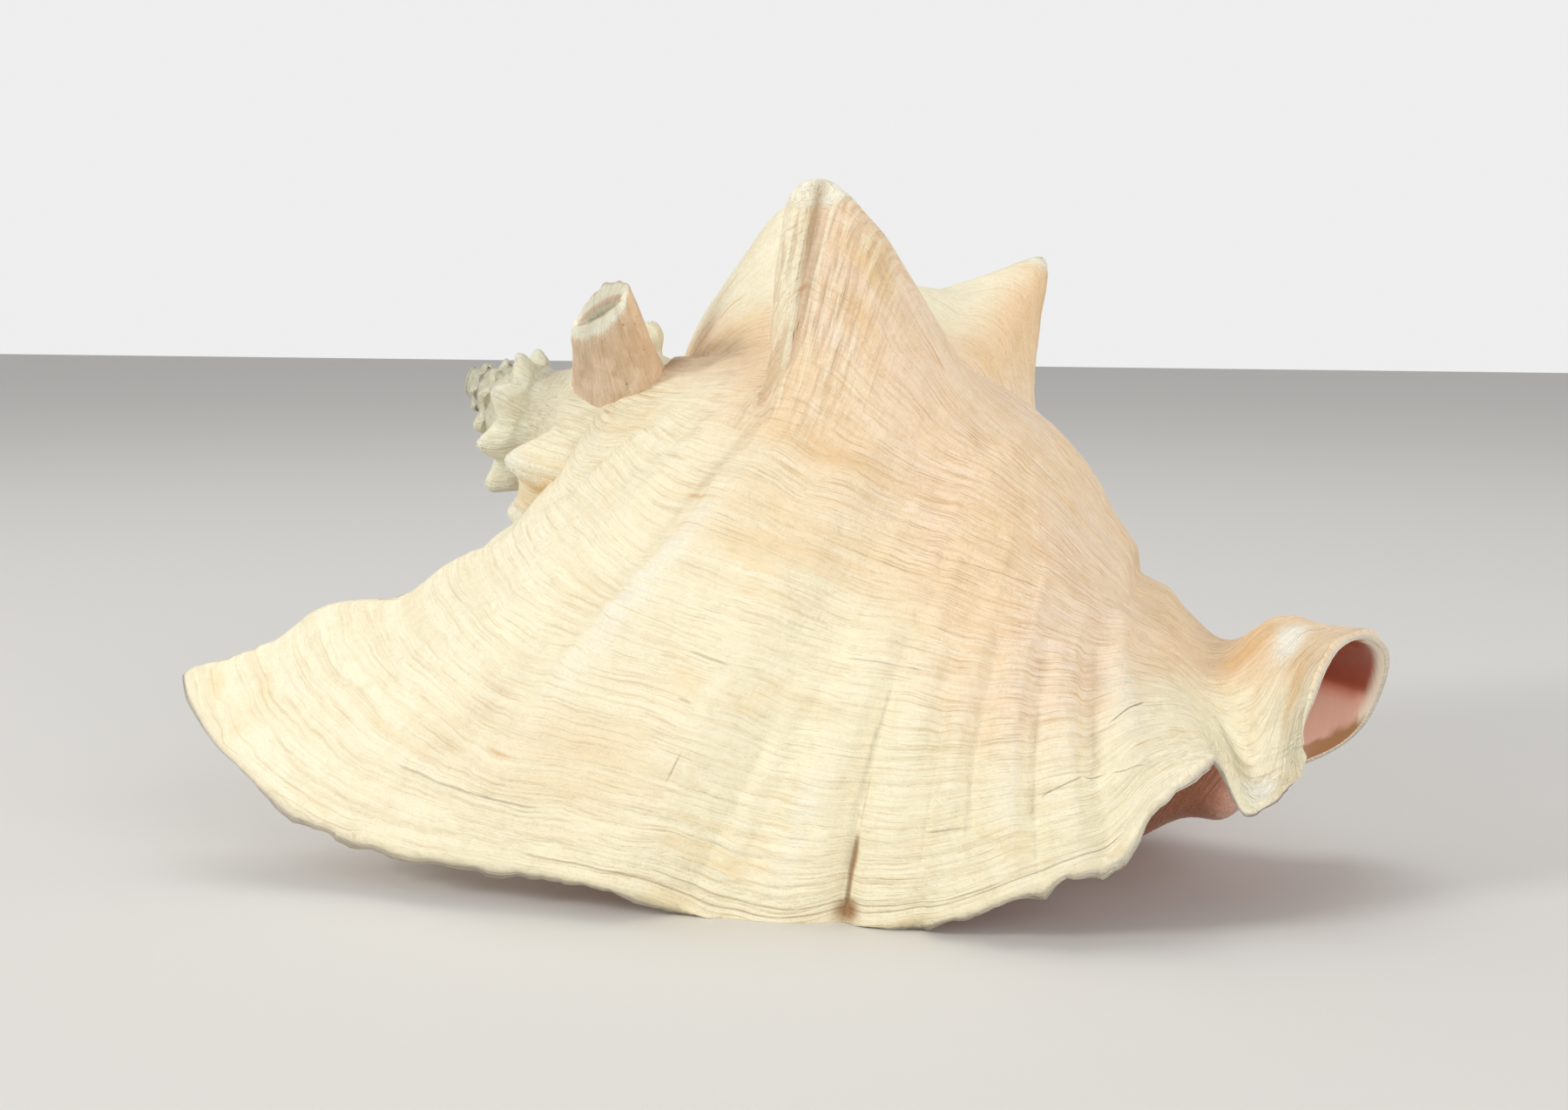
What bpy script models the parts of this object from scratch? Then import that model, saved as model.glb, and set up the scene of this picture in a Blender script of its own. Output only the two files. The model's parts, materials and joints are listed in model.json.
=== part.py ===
"""Queen conch shell of an adult: knobbed spire, long shoulder spines, flared outer lip, siphonal canal.

The shell is one grown piece. Its wall follows a helico-spiral about the coiling axis: every point of it is
given by a turn angle, which grows from the apex to the outer lip, and by a row, which runs from the suture,
0, over the shoulder to the end of the siphonal canal, 1. Lengths about the axis are in centimetres: along the
axis from the apex, towards the far side, and up from the axis.
"""

import bmesh
import bpy
import numpy as np

CM = 0.01

# How the coiling axis lies: apex position in metres, and how far the axis dips towards the canal.
APEX = np.array([-0.09135, 0.00292, 0.1017])
AXIS_DIP = np.radians(21.5)
ALONG = np.array([np.cos(AXIS_DIP), 0.0, -np.sin(AXIS_DIP)])
FAR = np.array([0.0, 1.0, 0.0])
UP = np.array([np.sin(AXIS_DIP), 0.0, np.cos(AXIS_DIP)])

# Turn angles in degrees: 0 is the far side, 90 the top, 180 the lip's side and 270 the underside.
FIRST_TURN = -1800.0
BODY_START = -420.0
CORE_END = -60.0
WALL_START = -86.0
FLARE_START = 95.0
LIP_TURN = 210.0
TURN_STEP = 6.0
# A small step in turn angle and in row, over which directions on the wall are taken.
NEAR_TURN, NEAR_ROW = 0.6, 0.003

# Growth of the whorls: turn angle, shoulder along, shoulder radius, suture along, suture radius.
GROWTH = np.array([
    (-1800, 0.00, 0.00, 0.00, 0.00),
    (-1710, 0.02, 0.24, 0.00, 0.00),
    (-1440, 0.28, 0.40, 0.00, 0.00),
    (-1350, 0.36, 0.43, 0.10, 0.26),
    (-990, 0.82, 0.70, 0.50, 0.46),
    (-630, 1.46, 1.22, 0.98, 0.80),
    (-450, 2.05, 1.62, 1.42, 1.02),
    (-270, 3.05, 2.00, 2.00, 1.25),
    (-200, 3.50, 2.25, 2.35, 1.22),
    (-90, 4.70, 3.00, 3.00, 1.62),
    (0, 6.20, 3.50, 3.70, 2.05),
    (78, 7.30, 4.00, 4.50, 2.36),
    (112, 8.00, 4.30, 4.66, 2.45),
    (150, 8.32, 4.53, 4.12, 2.45),
    (178, 8.48, 4.76, 4.22, 2.48),
    (210, 8.60, 5.00, 4.32, 2.50),
    (300, 9.00, 5.30, 4.30, 2.60),
], float)

# The slope from the suture to the shoulder: its rows, and how far along and out each one lies, as shares.
SLOPE_ROWS, SLOPE_ALONG, SLOPE_OUT = (0.0, 0.08, 0.16, 0.22), (0, 0.38, 0.74, 1), (0, 0.22, 0.60, 1)
SHOULDER_ROW, BELOW_SHOULDER_ROW, CANAL_ROW = 0.22, 0.26, 0.80
# How far the wall swells below the shoulder, as a share of its radius, and how far it drops in one whorl.
BELOW_SHOULDER_SWELLING, WHORL_PITCH = 0.05, 2.0

# The side of the body whorl below the shoulder: its rows, how far along each lies on top, and its radius.
SIDE_ROWS = np.array([0.30, 0.40, 0.50, 0.60, 0.68, 0.75, 0.81, 0.87, 0.93, 1.00])
SIDE_ALONG = np.array([9.8, 11.6, 13.2, 14.7, 16.0, 17.4, 18.7, 19.7, 20.5, 21.3])
SIDE_RADIUS = np.array([
    (-420, 1.40, 0.95, 0.90, 0.90, 0.90, 0.85, 0.80, 0.75, 0.55, 0.50),
    (-300, 1.70, 1.10, 1.10, 1.05, 1.00, 0.95, 0.90, 0.80, 0.60, 0.50),
    (-200, 2.80, 2.60, 2.50, 2.40, 2.30, 2.10, 1.80, 1.50, 1.00, 1.00),
    (-140, 3.60, 3.70, 3.70, 3.65, 3.55, 3.35, 2.80, 2.00, 1.35, 1.30),
    (-90, 4.00, 4.20, 4.30, 4.37, 4.36, 4.26, 3.50, 2.40, 2.10, 2.10),
    (-40, 3.90, 4.05, 3.95, 3.50, 3.10, 2.70, 2.30, 2.35, 2.35, 2.40),
    (0, 3.95, 4.00, 3.85, 3.10, 2.50, 1.95, 1.75, 2.45, 2.55, 2.70),
    (90, 4.80, 4.75, 4.55, 3.88, 3.00, 2.18, 1.80, 2.45, 2.60, 2.82),
    (210, 6.10, 6.20, 6.10, 4.60, 3.20, 2.20, 1.80, 2.45, 2.50, 2.55),
], float)

# Where the end of the canal lies along the axis at each turn angle, and the columella's own end.
CANAL_END = np.array([(-90, 18.8), (-60, 19.6), (-30, 20.9), (0, 21.95), (40, 22.1), (65, 21.85), (90, 21.35),
                      (120, 20.98), (160, 20.98), (210, 21.4)], float)
COLUMELLA_ALONG = np.array([19.6, 20.4, 20.8])
COLUMELLA_RADIUS = np.array([
    (-420, 0.65, 0.45, 0.0),
    (-300, 0.70, 0.50, 0.0),
    (-200, 1.20, 0.75, 0.0),
    (-140, 1.60, 0.95, 0.0),
    (-90, 1.65, 0.95, 0.0),
    (-60, 1.60, 0.90, 0.0),
], float)
# How far the whorls lie off the axis, in the spire and in the bent canal: along, far, up.
BEND = np.array([(0, 0, 0), (0.6, 0, -0.10), (1.6, 0, -0.30), (3, 0, -0.15), (5, 0, 0), (16, 0, 0),
                 (18.7, -0.3, 0.0), (20, -1.2, 0.35), (23, -1.2, 0.4)], float)
# The columella bends the other way and ends on the canal's underside.
CORE_BEND = np.array([(0, 0, 0), (0.6, 0, -0.10), (1.6, 0, -0.30), (3, 0, -0.15), (5, 0, 0), (16, 0, 0),
                      (18.7, -0.2, -0.15), (19.6, -0.5, -0.55), (20.4, -0.65, -0.85),
                      (20.8, -0.7, -1.05)], float)

# The outer lip's edge: row, along, far, up.
LIP = np.array([
    (0.00, 4.40, -1.30, -1.75),
    (0.05, 2.60, -4.60, -4.70),
    (0.10, 0.80, -6.50, -6.30),
    (0.135, -0.76, -7.20, -6.85),
    (0.16, 0.60, -8.00, -7.40),
    (0.20, 3.40, -8.80, -7.66),
    (0.25, 5.80, -9.00, -7.38),
    (0.31, 8.90, -9.00, -6.44),
    (0.37, 10.63, -8.80, -6.00),
    (0.44, 12.95, -7.90, -5.95),
    (0.50, 14.94, -7.60, -5.05),
    (0.56, 16.64, -7.70, -3.88),
    (0.62, 18.00, -7.50, -2.45),
    (0.67, 18.90, -7.00, -1.48),
    (0.72, 19.41, -6.00, 0.00),
    (0.765, 19.82, -5.00, 0.64),
    (0.80, 20.15, -4.80, 0.50),
    (0.86, 20.95, -4.50, -0.24),
    (0.93, 21.42, -4.00, 0.29),
    (1.00, 21.48, -3.50, 0.87),
], float)

# How late the flare starts: over all rows, and how much later at the wing's row and within these rows of it.
FLARE_POWER, WING_POWER, WING_ROW, WING_ROWS = 1.8, 1.5, 0.12, 0.25

# Folds of the whole wall that fan out towards the lip: the turn angle and row where each one starts and
# where it ends, half width in rows, height in cm, and over how many degrees it fades in and out.
FOLDS = [
    (118, 0.205, 250, 0.170, 0.022, 0.08, 40),
    (118, 0.252, 250, 0.210, 0.021, -0.22, 40),
    (118, 0.286, 250, 0.255, 0.018, 0.13, 40),
    (118, 0.330, 250, 0.310, 0.026, -0.09, 40),
    (118, 0.385, 250, 0.375, 0.030, 0.08, 40),
    (158, 0.105, 202, 0.130, 0.045, -0.26, 14),
    (30, 0.722, 140, 0.722, 0.016, -0.26, 20),
    (30, 0.822, 150, 0.822, 0.028, -0.16, 20),
    (164, 0.468, 250, 0.460, 0.020, 0.10, 8),
    (169, 0.487, 250, 0.500, 0.010, -0.11, 8),
    (168, 0.512, 250, 0.523, 0.015, 0.07, 8),
    (166, 0.590, 250, 0.602, 0.014, 0.07, 8),
    (180, 0.613, 250, 0.624, 0.010, -0.06, 8),
    (162, 0.638, 250, 0.648, 0.015, 0.07, 8),
]

# Spines of the body whorl: turn angle, row, half width in degrees, half widths in rows before and after,
# tip along, tip radius, sharpness, sharpness before the tip, roundness of the tip, lean in rows per degree.
SPINES = [
    (115.5, 0.232, 28, 0.028, 0.26, 7.50, 8.38, 1.70, 0.50, 0.18, 0.0014),
    (66, 0.150, 32, 0.130, 0.16, 5.12, 7.02, 1.05, 0.75, 0.20, 0.0),
    (40, 0.320, 27, 0.130, 0.20, 10.18, 11.20, 1.45, 1.10, 0.06, 0.0),
    (0, 0.250, 25, 0.140, 0.16, 7.00, 7.60, 1.60, 1.60, 0.05, 0.0),
    (-42, 0.270, 26, 0.150, 0.18, 9.30, 11.15, 1.50, 1.50, 0.07, 0.0),
]

# Knobs of the whorl before: turn angle, half width in degrees, tip shift along, height.
KNOBS = [(-146, 15, -0.45, 0.75), (-168, 17, -0.55, 0.80), (-290, 22, 0.5, 1.20), (-335, 20, -0.2, 0.50)]
# Nodules of the spire: first turn angle, step, last turn angle, height as a share of the shoulder's radius,
# shift towards the apex as a share of the height, and half width in degrees.
NODULE_FIRST, NODULE_STEP, NODULE_LAST = -345.0, -43.0, -1500.0
NODULE_SHARE, NODULE_SHIFT, NODULE_WIDTH = 0.28, -0.45, 22.0
# All knobs and nodules: row of the tip, half widths in rows before and after, sharpness and roundness.
KNOB_ROW, KNOB_BEFORE, KNOB_AFTER, KNOB_SHARPNESS, KNOB_ROUNDNESS = 0.22, 0.18, 0.075, 1.5, 0.08

# The broken, hollow spine of the whorl before: its foot and tip (along, far, up), and radii in cm.
STUB_FOOT = np.array([4.60, -0.90, 0.90])
STUB_TIP = np.array([3.60, -2.25, 3.17])
STUB_FOOT_RADIUS, STUB_TIP_RADIUS, STUB_HOLE_RADIUS, STUB_HOLE_DEPTH = 1.28, 0.80, 0.52, 0.60
# How far the broken rim drops along the axis and towards the lip, and how flat the stub and its hole are.
STUB_SLANT, STUB_NEAR_SLANT, STUB_FLATNESS, HOLE_FLATNESS = 0.48, 0.55, 0.85, 0.60
STUB_SIDES = 24

# Thickness of the wall in cm: over most of the whorl, at the lip, at the canal, at the wing's crest, and how
# much thicker the lip is where it rests.
WALL, LIP_WALL, CANAL_WALL, CREST_WALL, LIP_SWELLING = 0.42, 0.30, 0.18, 0.14, 0.08
# Where each one takes over: first turn angle and over how many degrees, or first row and over how many rows.
LIP_FROM, CANAL_FROM, CREST_FROM, SWELLING_FROM = (150, 60), (0.76, 0.16), (180, 22), (190, 20)
# Middle row and half width in rows of the crest and of the swelling.
CREST_ROWS, SWELLING_ROWS = (0.13, 0.035), (0.24, 0.07)
# How far the rim bulges past the wall, as a share of its thickness.
RIM_BULGE = 0.45
# How deep the suture's edge is sunk in the core, over which share of rows, and how deep the wall's end is.
SUTURE_SINK, SUTURE_ROWS, END_SINK = 0.35, 0.02, 0.12
# Columns and rows of the grids that the shell is shaped from.
WALL_COLUMNS, WALL_ROWS = 140, 181
SPIRE_ROWS, COLUMELLA_ROWS = 13, 29
# In metres: seams closer than this are one, and shorter edges than this are left out.
SEAM_GAP, SLIVER = 2e-6, 1e-7
# Grain of the fused shell in metres, and the triangles that its two parts keep, with where X splits them.
GRAIN = 0.0006
BODY_TRIANGLES, SPIRE_TRIANGLES = 6200, 1500
SPIRE_ENDS = -0.062
REST_HEIGHT = 0.0
COLOUR = (0.85, 0.70, 0.50, 1.0)


def spline(x, knots, values):
    """A smooth curve through hand-set values, one column or several."""
    knots = np.asarray(knots, float)
    values = np.asarray(values, float)
    single = values.ndim == 1
    if single:
        values = values[:, None]
    gap = np.diff(knots)[:, None]
    slope = np.diff(values, axis=0) / gap
    tangent = np.empty_like(values)
    tangent[0], tangent[-1] = slope[0], slope[-1]
    tangent[1:-1] = (gap[1:] * slope[:-1] + gap[:-1] * slope[1:]) / (gap[1:] + gap[:-1])
    x = np.clip(np.asarray(x, float), knots[0], knots[-1])
    i = np.clip(np.searchsorted(knots, x, side="right") - 1, 0, len(knots) - 2)
    width = (knots[i + 1] - knots[i])[..., None]
    t = ((x - knots[i])[..., None]) / width
    result = ((2 * t**3 - 3 * t**2 + 1) * values[i] + (t**3 - 2 * t**2 + t) * width * tangent[i]
              + (-2 * t**3 + 3 * t**2) * values[i + 1] + (t**3 - t**2) * width * tangent[i + 1])
    return result[..., 0] if single else result


def across_rows(row, knots, values):
    """The same curve where each point has its own values, one for each knot row."""
    gap = np.diff(knots)
    slope = np.diff(values, axis=-1) / gap
    tangent = np.empty_like(values)
    tangent[..., 0], tangent[..., -1] = slope[..., 0], slope[..., -1]
    tangent[..., 1:-1] = (gap[1:] * slope[..., :-1] + gap[:-1] * slope[..., 1:]) / (gap[1:] + gap[:-1])
    i = np.clip(np.searchsorted(knots, row, side="right") - 1, 0, len(knots) - 2)
    width = knots[i + 1] - knots[i]
    t = (row - knots[i]) / width

    def pick(table, j):
        return np.take_along_axis(table, j[..., None], -1)[..., 0]

    return ((2 * t**3 - 3 * t**2 + 1) * pick(values, i) + (t**3 - 2 * t**2 + t) * width * pick(tangent, i)
            + (-2 * t**3 + 3 * t**2) * pick(values, i + 1) + (t**3 - t**2) * width * pick(tangent, i + 1))


def smooth(x):
    x = np.clip(x, 0.0, 1.0)
    return x * x * (3 - 2 * x)


def ramp(x, start, length):
    """A smooth rise from 0 to 1."""
    return smooth((x - start) / length)


def growth(turn):
    grown = spline(turn, GROWTH[:, 0], GROWTH[:, 1:])
    early = turn <= -1440
    suture_along = np.where(early, 0.0, np.maximum(grown[..., 2], 0.0))
    suture_radius = np.where(early, 0.0, np.maximum(grown[..., 3], 0.0))
    return np.maximum(grown[..., 0], 0.0), np.maximum(grown[..., 1], 0.0), suture_along, suture_radius


def about_axis(along, radius, turn, lie):
    bend = spline(along, lie[:, 0], lie[:, 1:])
    angle = np.radians(turn)
    return np.stack([along, radius * np.cos(angle) + bend[..., 0], radius * np.sin(angle) + bend[..., 1]], -1)


def whorl(turn, row, core=False):
    """The plain whorl without flare, folds or spines. The core ends in the columella instead of the canal."""
    turn = np.asarray(turn, float)
    row = np.asarray(row, float)
    shoulder, shoulder_radius, suture, suture_radius = growth(turn)
    along = [suture + (shoulder - suture) * share for share in SLOPE_ALONG]
    radius = [suture_radius + (shoulder_radius - suture_radius) * share for share in SLOPE_OUT]
    side = spline(turn, SIDE_RADIUS[:, 0], SIDE_RADIUS[:, 1:])
    end = spline(turn, CANAL_END[:, 0], CANAL_END[:, 1])
    lag = (turn - 90) / 360 * WHORL_PITCH
    rows_along = []
    rows_radius = []
    for k, knot in enumerate(SIDE_ROWS):
        towards_end = (knot - SHOULDER_ROW) / (1 - SHOULDER_ROW)
        at_end = np.clip((knot - CANAL_ROW) / (1 - CANAL_ROW), 0, 1)
        rows_along.append(SIDE_ALONG[k] + (end - SIDE_ALONG[-1]) * at_end + lag * (1 - towards_end) ** 2)
        rows_radius.append(side[..., k])
    if core:
        tip = spline(turn, COLUMELLA_RADIUS[:, 0], COLUMELLA_RADIUS[:, 1:])
        for k in range(3):
            rows_along[-3 + k] = np.full_like(turn, COLUMELLA_ALONG[k])
            rows_radius[-3 + k] = tip[..., k]
        _, _, next_suture, next_radius = growth(turn + 360)
        own = smooth((turn + 240) / 150)
        rows_along[0] = next_suture + (rows_along[0] - next_suture) * own
        rows_radius[0] = next_radius + (rows_radius[0] - next_radius) * own
    along.append((shoulder + rows_along[0]) / 2)
    radius.append((shoulder_radius + rows_radius[0]) / 2 + BELOW_SHOULDER_SWELLING * shoulder_radius)
    knots = np.array([*SLOPE_ROWS, BELOW_SHOULDER_ROW, *SIDE_ROWS])
    along = across_rows(row, knots, np.stack(along + rows_along, -1))
    radius = np.maximum(across_rows(row, knots, np.stack(radius + rows_radius, -1)), 0.0)
    return about_axis(along, radius, turn, CORE_BEND if core else BEND)


def swell(distance, sharpness, roundness):
    """How far a knob or spine rises, from 1 at its tip to 0 at a distance of 1."""
    distance = np.clip(distance, 0, 1)
    x = (np.sqrt(distance**2 + roundness**2) - roundness) / (np.sqrt(1 + roundness**2) - roundness)
    return (1 - x) ** sharpness


def bump_at(x, middle, width):
    return np.exp(-(((x - middle) / width) ** 2))


def reach_from(turn, offset, at_turn, width, before, after):
    """Distance from a tip over the wall, 1 at the foot, where the offset is in rows past the tip."""
    offset = np.where(offset < 0, offset / before, offset / after)
    return np.sqrt(((turn - at_turn) / width) ** 2 + offset**2)


def push(turn, along, out):
    """A vector along the axis and out from it at a turn angle."""
    angle = np.radians(turn)
    return np.array([along, out * np.cos(angle), out * np.sin(angle)])


def flared(turn, row):
    """The body whorl's wall, opened out towards the lip."""
    share = np.clip((turn - FLARE_START) / (LIP_TURN - FLARE_START), 0, 1.2)
    near_wing = np.clip(1 - np.abs(row - WING_ROW) / WING_ROWS, 0, 1)
    share = share ** (FLARE_POWER + WING_POWER * near_wing**1.5)
    edge = spline(row, LIP[:, 0], LIP[:, 1:])
    plain_edge = whorl(np.full_like(row, LIP_TURN), row)
    return whorl(turn, row) + share[..., None] * (edge - plain_edge)


def outward(surface, turn, row):
    across = surface(turn + NEAR_TURN, row) - surface(turn - NEAR_TURN, row)
    down = surface(turn, np.clip(row + NEAR_ROW, 0, 1)) - surface(turn, np.clip(row - NEAR_ROW, 0, 1))
    return unit(np.cross(across, down))


def fold_height(turn, row):
    height = np.zeros_like(row)
    for turn_0, row_0, turn_1, row_1, width, rise, fade in FOLDS:
        middle = row_0 + (row_1 - row_0) * (turn - turn_0) / (turn_1 - turn_0)
        ends = smooth((turn - turn_0) / fade) * smooth((turn_1 - turn) / fade)
        height = height + rise * bump_at(row, middle, width) * ends
    return height


def wall_thickness(turn, row):
    thick = WALL + (LIP_WALL - WALL) * ramp(turn, *LIP_FROM)
    thick = thick + (CANAL_WALL - thick) * ramp(row, *CANAL_FROM)
    thick = thick + (CREST_WALL - thick) * ramp(turn, *CREST_FROM) * bump_at(row, *CREST_ROWS)
    return thick + LIP_SWELLING * ramp(turn, *SWELLING_FROM) * bump_at(row, *SWELLING_ROWS)


def spine_rise(turn, row):
    """How far all spines of the body whorl lift each point."""
    lift = np.zeros(turn.shape + (3,))
    for at_turn, at_row, width, before, after, tip, tip_radius, sharpness, steepness, blunt, lean in SPINES:
        foot = flared(np.array([float(at_turn)]), np.array([at_row]))[0]
        past = row - at_row - lean * (turn - at_turn)
        reach = reach_from(turn, past, at_turn, width, before, after)
        ahead = np.clip(-past / before, 0, 1) / np.maximum(reach, 1e-6)
        power = sharpness + (steepness - sharpness) * np.clip(ahead, 0, 1) ** 2
        lift = lift + swell(reach, power, blunt)[..., None] * (push(at_turn, tip, tip_radius) - foot)
    return lift


def unit(vectors):
    return vectors / np.maximum(np.linalg.norm(vectors, axis=-1, keepdims=True), 1e-12)


def wall_points(turn, row, layer):
    """Points of the body whorl's wall: layer 0 is outside, 1 inside, 0.5 the rounded edge between."""
    plain = flared(turn, row)
    normal = outward(flared, turn, row)
    base = plain + fold_height(turn, row)[..., None] * normal
    sunk = END_SINK * smooth((CORE_END - turn) / (CORE_END - WALL_START))
    outside = base + spine_rise(turn, row) - sunk[..., None] * normal
    thick = wall_thickness(turn, row)[..., None]
    inside = base - thick * normal
    # The rim bulges a little, so the edge of lip and canal is round.
    run = unit(plain - flared(turn - NEAR_TURN, row))
    down = unit(plain - flared(turn, np.clip(row - NEAR_ROW, 0, 1)))
    beyond = run * smooth(turn - LIP_TURN + 1)[..., None] + down * smooth((row - 0.999) / 0.001)[..., None]
    middle = (outside + inside) / 2 + beyond * thick * RIM_BULGE
    weight = layer[..., None]
    points = np.where(weight < 0.25, outside, np.where(weight > 0.75, inside, middle))
    inward = unit(points[..., 1:] - spline(points[..., 0], BEND[:, 0], BEND[:, 1:]))
    points[..., 1:] -= SUTURE_SINK * inward * np.clip(1 - row / SUTURE_ROWS, 0, 1)[..., None]
    return points


def core_points(turn, row):
    """Points of the spire and columella with their nodules and knobs."""
    points = whorl(turn, row, core=True)
    knobs = list(KNOBS)
    for at_turn in np.arange(NODULE_FIRST, NODULE_LAST, NODULE_STEP):
        height = NODULE_SHARE * growth(np.array([at_turn]))[1][0]
        knobs.append((at_turn, NODULE_WIDTH, NODULE_SHIFT * height, height))
    for at_turn, width, shift, height in knobs:
        reach = reach_from(turn, row - KNOB_ROW, at_turn, width, KNOB_BEFORE, KNOB_AFTER)
        share = swell(reach, KNOB_SHARPNESS, KNOB_ROUNDNESS)
        points = points + share[..., None] * push(at_turn, shift, height)
    return points


def in_world(points):
    return APEX + CM * (points[..., 0:1] * ALONG + points[..., 1:2] * FAR + points[..., 2:3] * UP)


def clear_scene():
    for thing in list(bpy.data.objects):
        bpy.data.objects.remove(thing, do_unlink=True)


def new_object(name, shape):
    mesh = bpy.data.meshes.new(name)
    shape.to_mesh(mesh)
    shape.free()
    thing = bpy.data.objects.new(name, mesh)
    bpy.context.scene.collection.objects.link(thing)
    return thing


def grid_of(shape, turns, rows):
    """Adds a flat grid whose x is the turn angle and whose y is the row. Returns its points."""
    made = bmesh.ops.create_grid(shape, x_segments=len(turns) - 1, y_segments=len(rows) - 1, size=1.0)
    for point in made["verts"]:
        i = round((point.co.x + 1) / 2 * (len(turns) - 1))
        j = round((point.co.y + 1) / 2 * (len(rows) - 1))
        point.co = (turns[i], rows[j], 0.0)
    return made["verts"]


def place(points, formula):
    """Moves grid points to where the shell has them."""
    flat = np.array([point.co[:] for point in points], float)
    moved = in_world(formula(flat[:, 0], flat[:, 1], flat[:, 2]))
    for point, co in zip(points, moved):
        point.co = co


def spire_and_columella():
    """The closed inner shell: all whorls but the last, with the columella."""
    shape = bmesh.new()
    turns = np.arange(FIRST_TURN, CORE_END + 1, TURN_STEP)
    points = grid_of(shape, turns, np.linspace(0, SIDE_ROWS[0], SPIRE_ROWS))
    turns = np.arange(BODY_START, CORE_END + 1, TURN_STEP)
    points += grid_of(shape, turns, np.linspace(SIDE_ROWS[0], 1.0, COLUMELLA_ROWS))
    place(points, lambda turn, row, layer: core_points(turn, row))
    bmesh.ops.remove_doubles(shape, verts=shape.verts, dist=SEAM_GAP)
    bmesh.ops.dissolve_degenerate(shape, edges=shape.edges, dist=SLIVER)
    rim = [edge for edge in shape.edges if edge.is_boundary]
    bmesh.ops.holes_fill(shape, edges=rim, sides=0)
    bmesh.ops.triangulate(shape, faces=shape.faces, ngon_method="EAR_CLIP")
    bmesh.ops.recalc_face_normals(shape, faces=shape.faces)
    return new_object("core", shape)


def body_wall():
    """The last half whorl as a wall with thickness, from deep inside to the outer lip and the canal."""
    shape = bmesh.new()
    grid_of(shape, np.linspace(WALL_START, LIP_TURN, WALL_COLUMNS), np.linspace(0, 1, WALL_ROWS))
    first = bmesh.ops.extrude_face_region(shape, geom=shape.faces[:], use_keep_orig=True)
    middle = [part for part in first["geom"] if isinstance(part, bmesh.types.BMVert)]
    bmesh.ops.translate(shape, verts=middle, vec=(0, 0, 0.5))
    faces = [part for part in first["geom"] if isinstance(part, bmesh.types.BMFace)]
    second = bmesh.ops.extrude_face_region(shape, geom=faces)
    bmesh.ops.delete(shape, geom=faces, context="FACES_ONLY")
    inner = [part for part in second["geom"] if isinstance(part, bmesh.types.BMVert)]
    bmesh.ops.translate(shape, verts=inner, vec=(0, 0, 0.5))
    loose = [point for point in shape.verts if not point.link_faces]
    bmesh.ops.delete(shape, geom=loose, context="VERTS")
    place(shape.verts[:], wall_points)
    bmesh.ops.triangulate(shape, faces=shape.faces)
    bmesh.ops.recalc_face_normals(shape, faces=shape.faces)
    return new_object("wall", shape)


def stub_spine():
    """The worn spine with a hollow, broken tip."""
    shape = bmesh.new()
    foot, tip = in_world(STUB_FOOT), in_world(STUB_TIP)
    length = np.linalg.norm(tip - foot)
    bmesh.ops.create_cone(shape, cap_ends=True, segments=STUB_SIDES, radius1=STUB_FOOT_RADIUS * CM,
                          radius2=STUB_TIP_RADIUS * CM, depth=length)
    cap = max(shape.faces, key=lambda face: face.calc_center_median().z)
    bmesh.ops.inset_region(shape, faces=[cap], thickness=(STUB_TIP_RADIUS - STUB_HOLE_RADIUS) * CM)
    bmesh.ops.translate(shape, verts=cap.verts, vec=(0, 0, -STUB_HOLE_DEPTH * CM))
    bmesh.ops.scale(shape, verts=cap.verts, vec=(HOLE_FLATNESS, HOLE_FLATNESS, 1))
    toward = (tip - foot) / length
    side = unit(np.cross(toward, FAR))
    back = np.cross(toward, side)
    for point in shape.verts:
        x, y, z = point.co
        if z > 0:
            z = z - STUB_SLANT * x - STUB_NEAR_SLANT * STUB_FLATNESS * y
        point.co = (foot + tip) / 2 + x * side + STUB_FLATNESS * y * back + z * toward
    bmesh.ops.triangulate(shape, faces=shape.faces)
    bmesh.ops.recalc_face_normals(shape, faces=shape.faces)
    return new_object("stub", shape)


def fuse(things):
    """Makes one body of overlapping closed shapes."""
    shape = bmesh.new()
    for thing in things:
        shape.from_mesh(thing.data)
    base = things[0]
    shape.to_mesh(base.data)
    shape.free()
    for thing in things[1:]:
        bpy.data.objects.remove(thing, do_unlink=True)
    grown = base.modifiers.new("grown_together", "REMESH")
    grown.mode = "VOXEL"
    grown.voxel_size = GRAIN
    keep_evaluated(base)
    return base


def keep_evaluated(thing):
    """Takes the modifiers into the mesh."""
    graph = bpy.context.evaluated_depsgraph_get()
    mesh = bpy.data.meshes.new_from_object(thing.evaluated_get(graph))
    thing.modifiers.clear()
    thing.vertex_groups.clear()
    thing.data = mesh


def simplify(thing, in_part, triangles):
    """Brings one part of the mesh down to a number of triangles and leaves the rest."""
    group = thing.vertex_groups.new(name="part")
    inside = [bool(in_part(point.co)) for point in thing.data.vertices]
    for index, chosen in enumerate(inside):
        group.add([index], 1.0 if chosen else 0.0, "REPLACE")
    counts = [(len(face.vertices) - 2, all(inside[k] for k in face.vertices)) for face in thing.data.polygons]
    total = sum(count for count, _ in counts)
    share = sum(count for count, chosen in counts if chosen)
    reduce = thing.modifiers.new("simplify", "DECIMATE")
    reduce.ratio = (total - share + triangles) / total
    reduce.use_collapse_triangulate = True
    reduce.vertex_group = group.name
    keep_evaluated(thing)


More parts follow.
